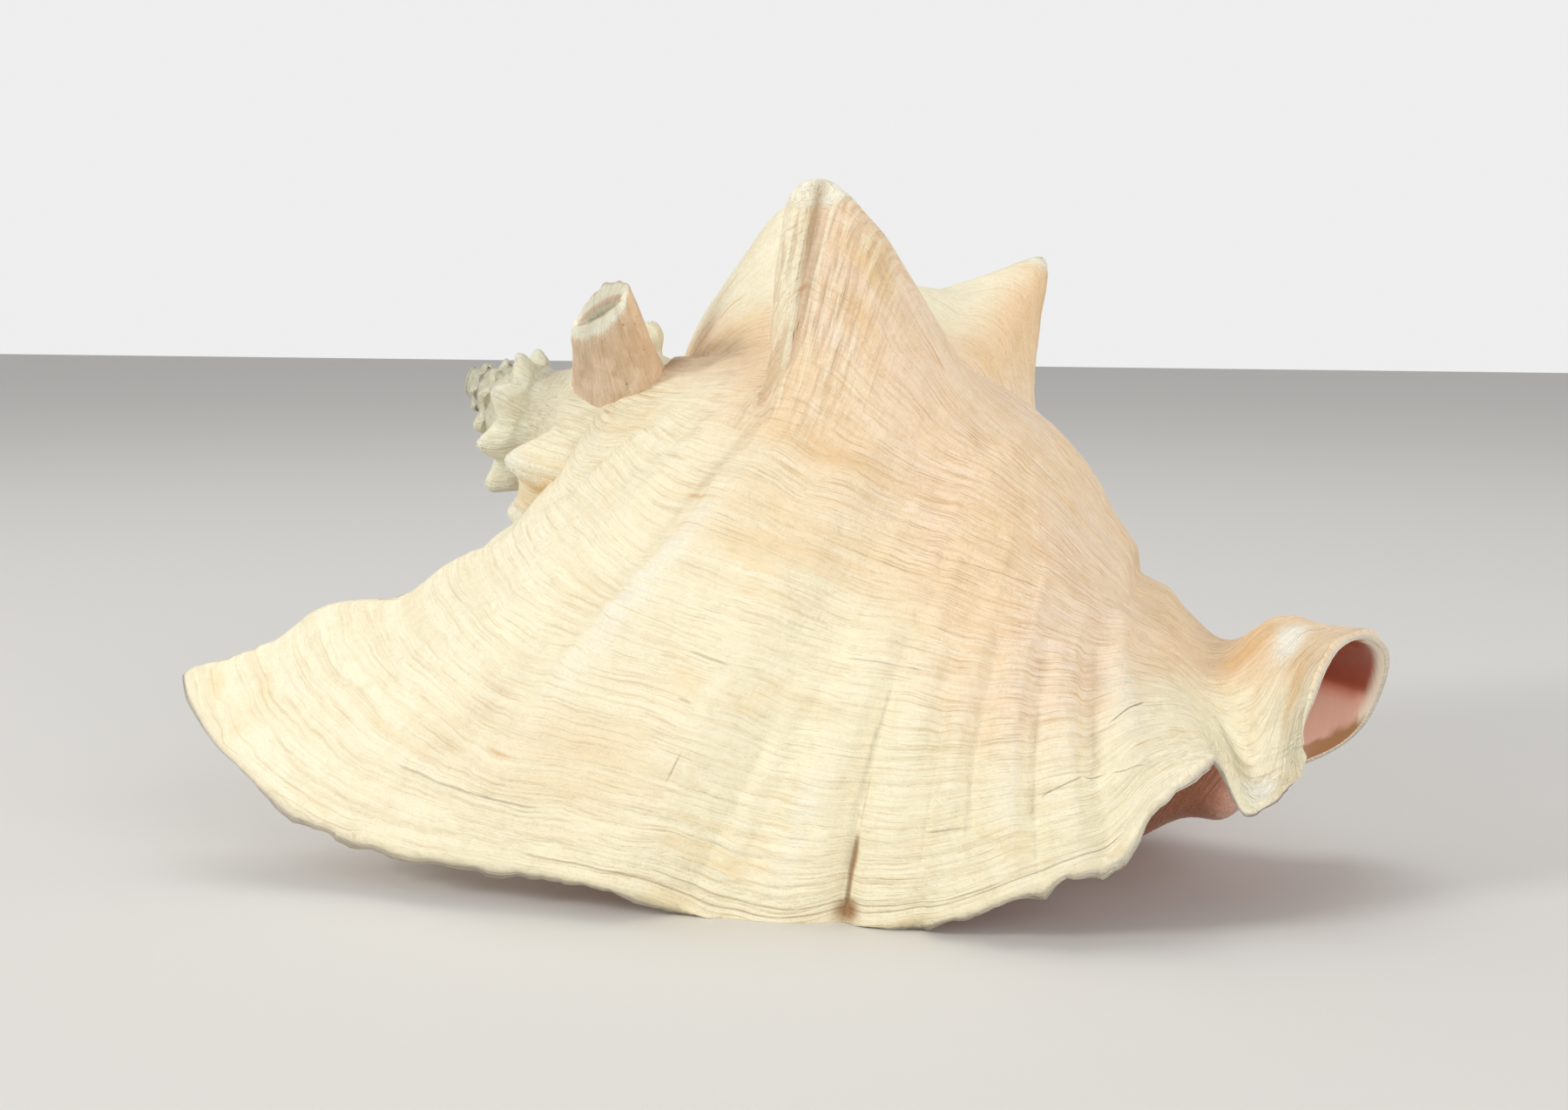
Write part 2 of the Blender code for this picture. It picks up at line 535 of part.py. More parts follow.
def cut_flat(thing):
    """Wears the lowest points flat, where the shell stands."""
    shape = bmesh.new()
    shape.from_mesh(thing.data)
    geom = shape.verts[:] + shape.edges[:] + shape.faces[:]
    base = (0, 0, REST_HEIGHT)
    bmesh.ops.bisect_plane(shape, geom=geom, plane_co=base, plane_no=(0, 0, -1), clear_outer=True)
    rim = [edge for edge in shape.edges if edge.is_boundary]
    bmesh.ops.holes_fill(shape, edges=rim, sides=0)
    bmesh.ops.triangulate(shape, faces=shape.faces)
    shape.to_mesh(thing.data)
    shape.free()


def shell_material():
    finish = bpy.data.materials.new("conch_shell")
    finish.use_nodes = True
    surface = finish.node_tree.nodes["Principled BSDF"]
    surface.inputs["Base Color"].default_value = COLOUR
    surface.inputs["Roughness"].default_value = 0.55
    surface.inputs["Metallic"].default_value = 0.0
    finish.diffuse_color = COLOUR
    return finish


def main():
    clear_scene()
    shell = fuse([spire_and_columella(), body_wall(), stub_spine()])
    simplify(shell, lambda co: co.x > SPIRE_ENDS, BODY_TRIANGLES)
    simplify(shell, lambda co: co.x <= SPIRE_ENDS, SPIRE_TRIANGLES)
    cut_flat(shell)
    shell.name = "shell"
    shell.data.name = "shell"
    shell.data.materials.clear()
    shell.data.materials.append(shell_material())


main()
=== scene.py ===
"""Dressed shell of an adult queen conch, lying on its aperture.

The shell is one grown piece. Its wall follows a helico-spiral about the coiling axis: a turn angle in degrees
grows from the apex to the outer lip, and a row runs from the suture (0) over the shoulder to the end of the
siphonal canal (1). Lengths about the axis are in centimetres: along it from the apex, to the far side, and up.
"""

import json
import logging
import math
from dataclasses import dataclass, field
from enum import Enum
from typing import Callable, Union

import bmesh
import bpy
import numpy as np
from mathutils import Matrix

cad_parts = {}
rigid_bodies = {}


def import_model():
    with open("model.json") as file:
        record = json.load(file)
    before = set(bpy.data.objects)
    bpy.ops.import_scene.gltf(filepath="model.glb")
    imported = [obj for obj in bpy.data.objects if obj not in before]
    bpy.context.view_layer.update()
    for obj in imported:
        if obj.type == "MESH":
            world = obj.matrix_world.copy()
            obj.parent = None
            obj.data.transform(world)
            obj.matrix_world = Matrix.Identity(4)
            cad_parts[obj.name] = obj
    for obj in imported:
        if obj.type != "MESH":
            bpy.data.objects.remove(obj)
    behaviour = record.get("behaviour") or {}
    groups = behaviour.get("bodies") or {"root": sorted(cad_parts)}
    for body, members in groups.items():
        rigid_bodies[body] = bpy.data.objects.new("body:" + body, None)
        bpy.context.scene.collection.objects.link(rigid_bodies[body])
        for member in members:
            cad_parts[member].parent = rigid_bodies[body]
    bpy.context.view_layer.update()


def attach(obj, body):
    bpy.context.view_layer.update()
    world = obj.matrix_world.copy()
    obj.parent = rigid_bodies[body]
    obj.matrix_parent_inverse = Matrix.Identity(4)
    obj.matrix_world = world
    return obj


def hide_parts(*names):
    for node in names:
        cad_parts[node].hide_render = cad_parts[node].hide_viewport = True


LOG = logging.getLogger("conch_shell")
CM = 0.01
# Marks of a point's depth in the wall, between the outer face, the rim and the inner face.
OUTER_DEPTH, INNER_DEPTH = 0.25, 0.75
Array = np.ndarray
Pair = tuple[float, float]
Point = tuple[float, float, float]
Row = tuple[float, ...]
Table = tuple[Row, ...]
Rgb = tuple[int, int, int]


class Side(Enum):
    """The two sides of the shell's wall, in the order of the mesh's material slots."""

    OUTER = 0
    INNER = 1


# ---------------------------------------------------------------- curves and seeded noise


def hermite(share: Array, width: Array, start: Array, leaving: Array, end: Array, arriving: Array) -> Array:
    """Joins two values by a smooth curve.

    Args:
        share: How far from the first value to the second, from 0 to 1.
        width: Distance between the two.
        start: First value.
        leaving: Slope at the first value.
        end: Second value.
        arriving: Slope at the second value.

    Returns:
        The curve's values.
    """
    return (
        (2 * share**3 - 3 * share**2 + 1) * start
        + (share**3 - 2 * share**2 + share) * width * leaving
        + (-2 * share**3 + 3 * share**2) * end
        + (share**3 - share**2) * width * arriving
    )


def slopes(knots: Array, values: Array) -> Array:
    """Slopes of a smooth curve at its knots, where the values run down the first axis."""
    gap = np.diff(knots).reshape(-1, *[1] * (values.ndim - 1))
    slope = np.diff(values, axis=0) / gap
    result = np.empty_like(values)
    result[0], result[-1] = slope[0], slope[-1]
    result[1:-1] = (gap[1:] * slope[:-1] + gap[:-1] * slope[1:]) / (gap[1:] + gap[:-1])
    return result


def stretches(x: Array, knots: Array) -> tuple[Array, Array, Array]:
    """For each x, the knot before it, how far it is towards the next one, and how far apart the two are."""
    i = np.clip(np.searchsorted(knots, x, side="right") - 1, 0, len(knots) - 2)
    width = knots[i + 1] - knots[i]
    return i, (x - knots[i]) / width, width


def spline(x: Array, table: Array) -> Array:
    """Draws a smooth curve through given values.

    Args:
        x: Where the curve is read.
        table: Rising knots in the first column, and one or more columns of values.

    Returns:
        The curve's values at x, held constant beyond both ends, with one more axis for the columns.
    """
    knots, values = table[:, 0], table[:, 1:]
    x = np.clip(np.asarray(x, float), knots[0], knots[-1])
    i, share, width = stretches(x, knots)
    slope = slopes(knots, values)
    return hermite(share[..., None], width[..., None], values[i], slope[i], values[i + 1], slope[i + 1])


def across_rows(row: Array, knots: Array, values: Array) -> Array:
    """Draws the same kind of curve where each point has its own values.

    Args:
        row: Row of each point.
        knots: Rising rows of the values.
        values: For each knot, one value for each point.

    Returns:
        The value of each point's own curve at its row.
    """
    i, share, width = stretches(row, knots)
    slope = slopes(knots, values)

    def pick(table: Array, j: Array) -> Array:
        """Takes each point's own knot j."""
        return np.take_along_axis(table, j[None], 0)[0]

    return hermite(share, width, pick(values, i), pick(slope, i), pick(values, i + 1), pick(slope, i + 1))


def smooth(x: Array) -> Array:
    """Eases from 0 to 1 as x goes from 0 to 1."""
    x = np.clip(x, 0.0, 1.0)
    return x * x * (3 - 2 * x)


def rise(x: Array, first: float, over: float) -> Array:
    """Eases from 0 at the first x up to 1 over a distance past it."""
    return smooth((x - first) / over)


def fall(x: Array, last: float, over: float) -> Array:
    """Eases from 1 down to 0 at the last x, over a distance before it."""
    return smooth((last - x) / over)


def bump_at(x: Array, centre: float, width: float) -> Array:
    """A soft hump of height 1 at the centre."""
    return np.exp(-(((x - centre) / width) ** 2))


def noise(x: Array, y: Array, seed: int) -> Array:
    """Smooth random heights on a unit lattice, the same at each run.

    Args:
        x: First coordinate, in lattice steps.
        y: Second coordinate, in lattice steps.
        seed: Which of the random lattices is read.

    Returns:
        Heights from -1 to 1.
    """
    size = 256
    lattice = np.random.default_rng(seed).uniform(-1, 1, (size, size))
    left = np.floor(x).astype(int)
    low = np.floor(y).astype(int)
    across = smooth(x - left)
    up = smooth(y - low)
    left, low = left % size, low % size
    right, high = (left + 1) % size, (low + 1) % size
    near = lattice[left, low] * (1 - across) + lattice[right, low] * across
    far = lattice[left, high] * (1 - across) + lattice[right, high] * across
    return near * (1 - up) + far * up


def rough_noise(x: Array, y: Array, seed: int, octaves: int = 3) -> Array:
    """Sums octaves of noise, each half as high and twice as fine."""
    total = np.zeros_like(x)
    for k in range(octaves):
        total = total + noise(x * 2**k + 7.3 * k, y * 2**k + 3.1 * k, seed + k) / 2**k
    return total


def swell(distance: Array, sharpness: Array, roundness: float) -> Array:
    """How far a spine rises.

    Args:
        distance: 0 at the tip, 1 at the foot.
        sharpness: How much steeper the rise gets towards the tip.
        roundness: How blunt the tip is.

    Returns:
        1 at the tip, falling to 0 at the foot.
    """
    distance = np.clip(distance, 0, 1)
    x = (np.sqrt(distance**2 + roundness**2) - roundness) / (np.sqrt(1 + roundness**2) - roundness)
    return (1 - x) ** sharpness


def mound(distance: Array) -> Array:
    """A rounded rise: 1 at distance 0, falling softly to 0 at distance 1."""
    return (1 - np.clip(distance, 0, 1) ** 2) ** 2


def unit(vectors: Array) -> Array:
    """Brings each vector to length 1."""
    return vectors / np.maximum(np.linalg.norm(vectors, axis=-1, keepdims=True), 1e-12)


def spread(amount: Array, vectors: Array) -> Array:
    """Multiplies each vector by its own amount."""
    return amount[..., None] * vectors


# ---------------------------------------------------------------- how the shell coils


@dataclass(frozen=True)
class Coil:
    """The shape law that every part of the shell follows."""

    apex: Point = (-0.09135, 0.00292, 0.1017)
    axis_dip: float = 21.5
    lip_turn: float = 210.0
    flare_start: float = 95.0
    # The flare starts late, and later still at the row of the wing: power there and elsewhere, row, reach.
    flare_power: float = 1.8
    wing_power: float = 1.5
    wing: Pair = (0.12, 0.25)
    # Turn angle, shoulder along, shoulder radius, suture along, suture radius.
    growth: Table = (
        (-1800, 0.00, 0.00, 0.00, 0.00), (-1710, 0.02, 0.24, 0.00, 0.00), (-1440, 0.28, 0.40, 0.00, 0.00),
        (-1350, 0.36, 0.43, 0.10, 0.26), (-990, 0.82, 0.70, 0.50, 0.46), (-630, 1.46, 1.22, 0.98, 0.80),
        (-450, 2.05, 1.62, 1.42, 1.02), (-270, 3.05, 2.00, 2.00, 1.25), (-200, 3.50, 2.25, 2.35, 1.22),
        (-90, 4.70, 3.00, 3.00, 1.62), (0, 6.20, 3.50, 3.70, 2.05), (78, 7.30, 4.00, 4.50, 2.36),
        (112, 8.00, 4.30, 4.66, 2.45), (150, 8.32, 4.53, 4.12, 2.45), (178, 8.48, 4.76, 4.22, 2.48),
        (210, 8.60, 5.00, 4.32, 2.50), (300, 9.00, 5.30, 4.30, 2.60),
    )
    # The rows of the side below the shoulder, and how far along each one lies.
    side_rows: Row = (0.30, 0.40, 0.50, 0.60, 0.68, 0.75, 0.81, 0.87, 0.93, 1.00)
    side_along: Row = (9.8, 11.6, 13.2, 14.7, 16.0, 17.4, 18.7, 19.7, 20.5, 21.3)
    # Turn angle, then the radius at each side row.
    side_radius: Table = (
        (-420, 1.40, 0.95, 0.90, 0.90, 0.90, 0.85, 0.80, 0.75, 0.55, 0.50),
        (-300, 1.70, 1.10, 1.10, 1.05, 1.00, 0.95, 0.90, 0.80, 0.60, 0.50),
        (-200, 2.80, 2.60, 2.50, 2.40, 2.30, 2.10, 1.80, 1.50, 1.00, 1.00),
        (-140, 3.60, 3.70, 3.70, 3.65, 3.55, 3.35, 2.80, 2.00, 1.35, 1.30),
        (-90, 4.00, 4.20, 4.30, 4.37, 4.36, 4.26, 3.50, 2.40, 2.10, 2.10),
        (-40, 3.90, 4.05, 3.95, 3.50, 3.10, 2.70, 2.30, 2.35, 2.35, 2.40),
        (0, 3.95, 4.00, 3.85, 3.10, 2.50, 1.95, 1.75, 2.45, 2.55, 2.70),
        (90, 4.80, 4.75, 4.55, 3.88, 3.00, 2.18, 1.80, 2.45, 2.60, 2.82),
        (210, 6.10, 6.20, 6.10, 4.60, 3.20, 2.20, 1.80, 2.45, 2.50, 2.55),
    )
    # Turn angle, how far along the canal ends.
    canal_end: Table = (
        (-90, 18.8), (-60, 19.6), (-30, 20.9), (0, 21.95), (40, 22.1), (65, 21.85), (90, 21.35),
        (120, 20.98), (160, 20.98), (210, 21.4),
    )
    # The last three rows where the whorl ends in the columella: how far along, then turn angle and radii.
    columella_along: Row = (19.6, 20.4, 20.8)
    columella_radius: Table = (
        (-420, 0.65, 0.45, 0.0), (-300, 0.70, 0.50, 0.0), (-200, 1.20, 0.75, 0.0), (-140, 1.60, 0.95, 0.0),
        (-90, 1.65, 0.95, 0.0), (-60, 1.60, 0.90, 0.0),
    )
    # Along, then how far the whorls lie off the axis, far and up: the part they share, then the two ends.
    bend: Table = (
        (0, 0, 0), (0.6, 0, -0.10), (1.6, 0, -0.30), (3, 0, -0.15), (5, 0, 0), (16, 0, 0),
    )
    canal_bend: Table = (
        (18.7, -0.3, 0.0), (20, -1.2, 0.35), (23, -1.2, 0.4),
    )
    columella_bend: Table = (
        (18.7, -0.2, -0.15), (19.6, -0.5, -0.55), (20.4, -0.65, -0.85), (20.8, -0.7, -1.05),
    )
    # The outer lip's edge: row, along, far, up.
    lip: Table = (
        (0.00, 4.40, -1.30, -1.75), (0.05, 2.60, -4.60, -4.70), (0.10, 0.80, -6.50, -6.30),
        (0.135, -0.76, -7.20, -6.85), (0.16, 0.60, -8.00, -7.40), (0.20, 3.40, -8.80, -7.66),
        (0.25, 5.80, -9.00, -7.38), (0.31, 8.90, -9.00, -6.44), (0.37, 10.63, -8.80, -6.00),
        (0.44, 12.95, -7.90, -5.95), (0.50, 14.94, -7.60, -5.05), (0.56, 16.64, -7.70, -3.88),
        (0.62, 18.00, -7.50, -2.45), (0.67, 18.90, -7.00, -1.48), (0.72, 19.41, -6.00, 0.00),
        (0.765, 19.82, -5.00, 0.64), (0.80, 20.15, -4.80, 0.50), (0.86, 20.95, -4.50, -0.24),
        (0.93, 21.42, -4.00, 0.29), (1.00, 21.48, -3.50, 0.87),
    )
    # The slope from the suture to the shoulder: its rows, and how far along and out they lie, as shares.
    shoulder_row: float = 0.22
    slope_rows: Row = (0.0, 0.08, 0.16, 0.22)
    slope_along: Row = (0, 0.38, 0.74, 1)
    slope_out: Row = (0, 0.22, 0.60, 1)
    # The row where the wall swells just below the shoulder, and by what share of the radius.
    swelling_row: float = 0.26
    swelling: float = 0.05
    # How far the side drops along the axis in one whorl.
    drop: float = 2.0

    def axes(self) -> Array:
        """The three directions about the axis in the world: along, far and up, as rows."""
        dip = math.radians(self.axis_dip)
        return np.array([
            (math.cos(dip), 0.0, -math.sin(dip)),
            (0.0, 1.0, 0.0),
            (math.sin(dip), 0.0, math.cos(dip)),
        ])

    def in_world(self, points: Array) -> Array:
        """Turns points about the axis, in centimetres, into world points in metres."""
        return np.array(self.apex) + CM * (points @ self.axes())

    def shoulder_and_suture(self, turn: Array) -> tuple[Array, ...]:
        """Where the shoulder and the suture lie.

        Args:
            turn: Turn angles in degrees.

        Returns:
            Shoulder along, shoulder radius, suture along, suture radius.
        """
        grown = np.maximum(spline(turn, np.array(self.growth)), 0.0)
        early = turn <= -1440
        suture_along, suture_radius = (np.where(early, 0.0, grown[..., k]) for k in (2, 3))
        return grown[..., 0], grown[..., 1], suture_along, suture_radius

    def whorl(self, turn: Array, row: Array, core: bool = False) -> Array:
        """The plain whorl, without flare, folds or spines.

        Args:
            turn: Turn angles in degrees.
            row: Rows from the suture to the canal.
            core: Whether the whorl ends in the columella instead of the canal.

        Returns:
            Points about the axis.
        """
        shoulder, shoulder_radius, suture, suture_radius = self.shoulder_and_suture(turn)
        along = [suture + (shoulder - suture) * share for share in self.slope_along]
        radius = [suture_radius + (shoulder_radius - suture_radius) * share for share in self.slope_out]
        rows_along, rows_radius = self.side(turn, core)
        along.append((shoulder + rows_along[0]) / 2)
        radius.append((shoulder_radius + rows_radius[0]) / 2 + self.swelling * shoulder_radius)
        knots = np.array([*self.slope_rows, self.swelling_row, *self.side_rows])
        along_at = across_rows(row, knots, np.stack(along + rows_along))
        radius_at = np.maximum(across_rows(row, knots, np.stack(radius + rows_radius)), 0.0)
        off_axis = spline(along_at, self.bend_of(core))
        angle = np.radians(turn)
        far = radius_at * np.cos(angle) + off_axis[..., 0]
        up = radius_at * np.sin(angle) + off_axis[..., 1]
        return np.stack([along_at, far, up], -1)

    def side(self, turn: Array, core: bool) -> tuple[list[Array], list[Array]]:
        """The whorl's side below the shoulder.

        Args:
            turn: Turn angles in degrees.
            core: Whether the side ends in the columella instead of the canal.

        Returns:
            How far along and how far out each of the side rows lies.
        """
        radius = spline(turn, np.array(self.side_radius))
        end = spline(turn, np.array(self.canal_end))[..., 0]
        lag = (turn - 90) / 360 * self.drop
        rows_along = []
        rows_radius = [radius[..., k] for k in range(len(self.side_rows))]
        for knot, along in zip(self.side_rows, self.side_along):
            towards_end = (knot - self.shoulder_row) / (1 - self.shoulder_row)
            stretch = (end - self.side_along[-1]) * np.clip((knot - 0.8) / 0.2, 0, 1)
            rows_along.append(along + stretch + lag * (1 - towards_end) ** 2)
        if core:
            tip = spline(turn, np.array(self.columella_radius))
            for k, along in enumerate(self.columella_along):
                rows_along[-3 + k] = np.full_like(turn, along)
                rows_radius[-3 + k] = tip[..., k]
            _, _, next_suture, next_radius = self.shoulder_and_suture(turn + 360)
            own = rise(turn, -240, 150)
            rows_along[0] = next_suture + (rows_along[0] - next_suture) * own
            rows_radius[0] = next_radius + (rows_radius[0] - next_radius) * own
        return rows_along, rows_radius

    def bend_of(self, core: bool) -> Array:
        """How the columella or the whorls bend off the axis."""
        return np.array(self.bend + (self.columella_bend if core else self.canal_bend))

    def flared(self, turn: Array, row: Array) -> Array:
        """The body whorl's wall, opened out towards the lip, as points about the axis."""
        share = np.clip((turn - self.flare_start) / (self.lip_turn - self.flare_start), 0, 1.2)
        near_wing = np.clip(1 - np.abs(row - self.wing[0]) / self.wing[1], 0, 1) ** 1.5
        share = share ** (self.flare_power + self.wing_power * near_wing)
        plain_edge = self.whorl(np.full_like(row, self.lip_turn), row)
        return self.whorl(turn, row) + spread(share, spline(row, np.array(self.lip)) - plain_edge)

    def inward(self, points: Array) -> Array:
        """Directions from points towards the bent axis, in the two coordinates across it."""
        return unit(spline(points[..., 0], self.bend_of(False)) - points[..., 1:])


@dataclass(frozen=True)
class Spine:
    """A long blunt spine of the shoulder."""

    turn: float
    row: float
    half_turn: float
    before: float
    after: float
    tip_along: float
    tip_radius: float
    sharpness: float
    sharpness_before: float
    roundness: float
    lean: float = 0.0
    worn_from: float = 0.90

    def reach(self, turn: Array, row: Array) -> Array:
        """Distance from the tip over the wall, 1 at the spine's foot."""
        offset = self.past(turn, row)
        offset = np.where(offset < 0, offset / self.before, offset / self.after)
        return np.sqrt(((turn - self.turn) / self.half_turn) ** 2 + offset**2)

    def past(self, turn: Array, row: Array) -> Array:
        """How many rows each point lies past the spine's middle line, which leans with the turn."""
        return row - self.row - self.lean * (turn - self.turn)

    def tip_from_foot(self, coil: Coil) -> Array:
        """The vector from the wall under the spine to its tip, about the axis."""
        foot = coil.flared(np.array([self.turn]), np.array([self.row]))[0]
        angle = math.radians(self.turn)
        tip = (self.tip_along, self.tip_radius * math.cos(angle), self.tip_radius * math.sin(angle))
        return np.array(tip) - foot

    def share(self, turn: Array, row: Array) -> Array:
        """How far each point goes towards the tip, from 0 to 1."""
        reach = self.reach(turn, row)
        ahead = np.clip(-self.past(turn, row) / self.before, 0, 1) / np.maximum(reach, 1e-6)
        power = self.sharpness + (self.sharpness_before - self.sharpness) * np.clip(ahead, 0, 1) ** 2
        return swell(reach, power, self.roundness)


@dataclass(frozen=True)
class Fold:
    """A rib (height above 0) or a furrow that runs across the growth lines, towards the lip."""

    path: Table
    width: float
    height: float
    flat: bool = False
    beaded: float = 0.0
    fade: float = 8.0

    def raised(self, turn: Array, row: Array) -> Array:
        """Height of the fold at each point, in centimetres."""
        path = np.array(self.path)
        offset = (row - spline(turn, path)[..., 0]) / self.width
        across = np.exp(-(offset**4)) if self.flat else np.exp(-(offset**2))
        along = rise(turn, path[0, 0], self.fade) * fall(turn, path[-1, 0], self.fade)
        beads = 1 + self.beaded * noise(turn / 1.3, row * 50, 83)
        return self.height * across * along * beads


@dataclass(frozen=True)
class Patch:
    """A soft-edged patch of the wall, for colours that keep to one place."""

    turn: float
    row: float
    half_turn: float
    half_row: float
    share: float

    def cover(self, turn: Array, row: Array) -> Array:
        """How strong the patch is at each point, from 0 to its share."""
        return self.share * bump_at(turn, self.turn, self.half_turn) * bump_at(row, self.row, self.half_row)


def covered(patches: tuple[Patch, ...], turn: Array, row: Array) -> Array:
    """Adds up patches at each point, up to 1."""
    return np.clip(sum(patch.cover(turn, row) for patch in patches), 0, 1)


@dataclass(frozen=True)
class Knob:
    """A short knob or nodule of the old whorls."""

    turn: float
    half_turn: float
    shift: float
    height: float
    after: float = 0.080

    def share(self, turn: Array, row: Array) -> Array:
        """How much of the knob each point of the whorl is, 1 at its tip."""
        offset = row - Coil.shoulder_row
        offset = np.where(offset < 0, offset / 0.18, offset / self.after)
        return mound(np.sqrt(((turn - self.turn) / self.half_turn) ** 2 + offset**2))

    def push(self) -> Array:
        """The vector along the axis and out from it to the tip."""
        angle = math.radians(self.turn)
        return np.array([self.shift, self.height * math.cos(angle), self.height * math.sin(angle)])


# ---------------------------------------------------------------- meshes from grids


def grid_mesh(columns: int, rows: int, walls: bool) -> bmesh.types.BMesh:
    """Makes a flat grid whose x and y are the point's column and row numbers.

    Args:
        columns: Number of points in x.
        rows: Number of points in y.
        walls: Whether the grid becomes a closed slab: z is 0 outside, 0.5 on the rim and 1 inside.

    Returns:
        The grid.
    """
    shape = bmesh.new()
    bmesh.ops.create_grid(shape, x_segments=columns - 1, y_segments=rows - 1, size=1.0)
    bmesh.ops.translate(shape, verts=shape.verts, vec=(1, 1, 0))
    bmesh.ops.scale(shape, verts=shape.verts, vec=((columns - 1) / 2, (rows - 1) / 2, 1))
    if walls:
        first = bmesh.ops.extrude_face_region(shape, geom=shape.faces[:], use_keep_orig=True)
        middle = [part for part in first["geom"] if isinstance(part, bmesh.types.BMVert)]
        bmesh.ops.translate(shape, verts=middle, vec=(0, 0, 0.5))
        faces = [part for part in first["geom"] if isinstance(part, bmesh.types.BMFace)]
        second = bmesh.ops.extrude_face_region(shape, geom=faces)
        bmesh.ops.delete(shape, geom=faces, context="FACES_ONLY")
        inner = [part for part in second["geom"] if isinstance(part, bmesh.types.BMVert)]
        bmesh.ops.translate(shape, verts=inner, vec=(0, 0, 0.5))
        loose = [point for point in shape.verts if not point.link_faces]
        bmesh.ops.delete(shape, geom=loose, context="VERTS")
    bmesh.ops.recalc_face_normals(shape, faces=shape.faces)
    return shape


def mesh_of(name: str, shape: bmesh.types.BMesh) -> bpy.types.Mesh:
    """Writes a bmesh to a new mesh and frees it."""
    mesh = bpy.data.meshes.new(name)
    shape.to_mesh(mesh)
    shape.free()
    return mesh


def read_points(mesh: bpy.types.Mesh) -> Array:
    """The mesh's points as rows of three."""
    flat = np.empty(len(mesh.vertices) * 3, np.float32)
    mesh.vertices.foreach_get("co", flat)
    return flat.reshape(-1, 3).astype(float)


def write_points(mesh: bpy.types.Mesh, points: Array) -> None:
    """Moves the mesh's points, none below the floor, and turns its faces outwards if they point inwards."""
    points = np.concatenate([points[:, :2], np.maximum(points[:, 2:], 0.0)], axis=1)
    mesh.vertices.foreach_set("co", points.astype(np.float32).ravel())
    mesh.update()
    mesh.calc_loop_triangles()
    corners = np.empty(len(mesh.loop_triangles) * 3, np.int32)
    mesh.loop_triangles.foreach_get("vertices", corners)
    if np.linalg.det(points[corners.reshape(-1, 3)]).sum() < 0:
        mesh.flip_normals()
    mesh.update()


def write_masks(mesh: bpy.types.Mesh, **masks: Array) -> None:
    """Keeps numbers for each point under their names, for the finish to read."""
    for name, values in masks.items():
        layer = mesh.attributes.new(name, "FLOAT", "POINT")
        layer.data.foreach_set("value", values.astype(np.float32))


def write_growth_map(mesh: bpy.types.Mesh, turn: Array, row: Array) -> None:
    """Lays the growth coordinates out as a UV map: a degree is 1 mm wide, and a whole row line is 300 mm long.

    At the canal a degree is narrower, and the growth lines bend to run along its rim.
    """
    narrower = 1 - 0.72 * rise(row, 0.70, 0.22)
    across = 0.15 + (turn - 150) * 0.001 * narrower + 0.7 * np.clip(row - 0.78, 0, 1) ** 2
    corners = np.empty(len(mesh.loops), np.int32)
    mesh.loops.foreach_get("vertex_index", corners)
    layer = mesh.uv_layers.new(name="growth")
    both = np.stack([across[corners], row[corners] * 0.3], -1)
    layer.data.foreach_set("uv", both.astype(np.float32).ravel())


def close_mesh(mesh: bpy.types.Mesh, gap: float, sliver: float = 0.0) -> None:
    """Joins seams and fills holes.

    Args:
        mesh: The mesh, which is changed.
        gap: Points that are closer than this become one.
        sliver: Where it is above 0, shorter edges than this go, and the fillings become triangles.
    """
    shape = bmesh.new()
    shape.from_mesh(mesh)
    bmesh.ops.remove_doubles(shape, verts=shape.verts, dist=gap)
    if sliver:
        bmesh.ops.dissolve_degenerate(shape, edges=shape.edges, dist=sliver)
    rim = [edge for edge in shape.edges if edge.is_boundary]
    bmesh.ops.holes_fill(shape, edges=rim, sides=0)
    if sliver:
        large = [face for face in shape.faces if len(face.verts) > 4]
        bmesh.ops.triangulate(shape, faces=large, ngon_method="EAR_CLIP")
    bmesh.ops.recalc_face_normals(shape, faces=shape.faces)
    shape.to_mesh(mesh)
    shape.free()


def shade_smooth(mesh: bpy.types.Mesh) -> None:
    """Shades all faces smooth."""
    mesh.polygons.foreach_set("use_smooth", np.ones(len(mesh.polygons), bool))
    mesh.update()


def new_piece(name: str, mesh: bpy.types.Mesh) -> bpy.types.Object:
    """Puts a mesh into the scene as an object at the origin."""
    piece = bpy.data.objects.new(name, mesh)
    bpy.context.scene.collection.objects.link(piece)
    return piece


def keep_evaluated(piece: bpy.types.Object) -> None:
    """Takes the modifiers into the mesh."""
    graph = bpy.context.evaluated_depsgraph_get()
    mesh = bpy.data.meshes.new_from_object(piece.evaluated_get(graph))
    piece.modifiers.clear()
    piece.vertex_groups.clear()
    piece.data = mesh


def evenly_along(points: Array, weights: Array, count: int) -> Array:
    """Picks fractions along a line so that the points lie evenly on it.

    Args:
        points: Fine points of one or more lines, as (lines, points, 3).
        weights: For each stretch between two points, how densely it is picked.
        count: How many fractions are picked.

    Returns:
        Fractions from 0 to 1 of the fine points' numbering.
    """
    steps = np.linalg.norm(np.diff(points, axis=1), axis=-1)
    steps = (steps / steps.sum(axis=1, keepdims=True)).mean(axis=0) * weights
    length = np.concatenate([[0.0], np.cumsum(steps)])
    fine = np.linspace(0, 1, points.shape[1])
    return np.interp(np.linspace(0, length[-1], count), length, fine)


# ---------------------------------------------------------------- the shell's parts


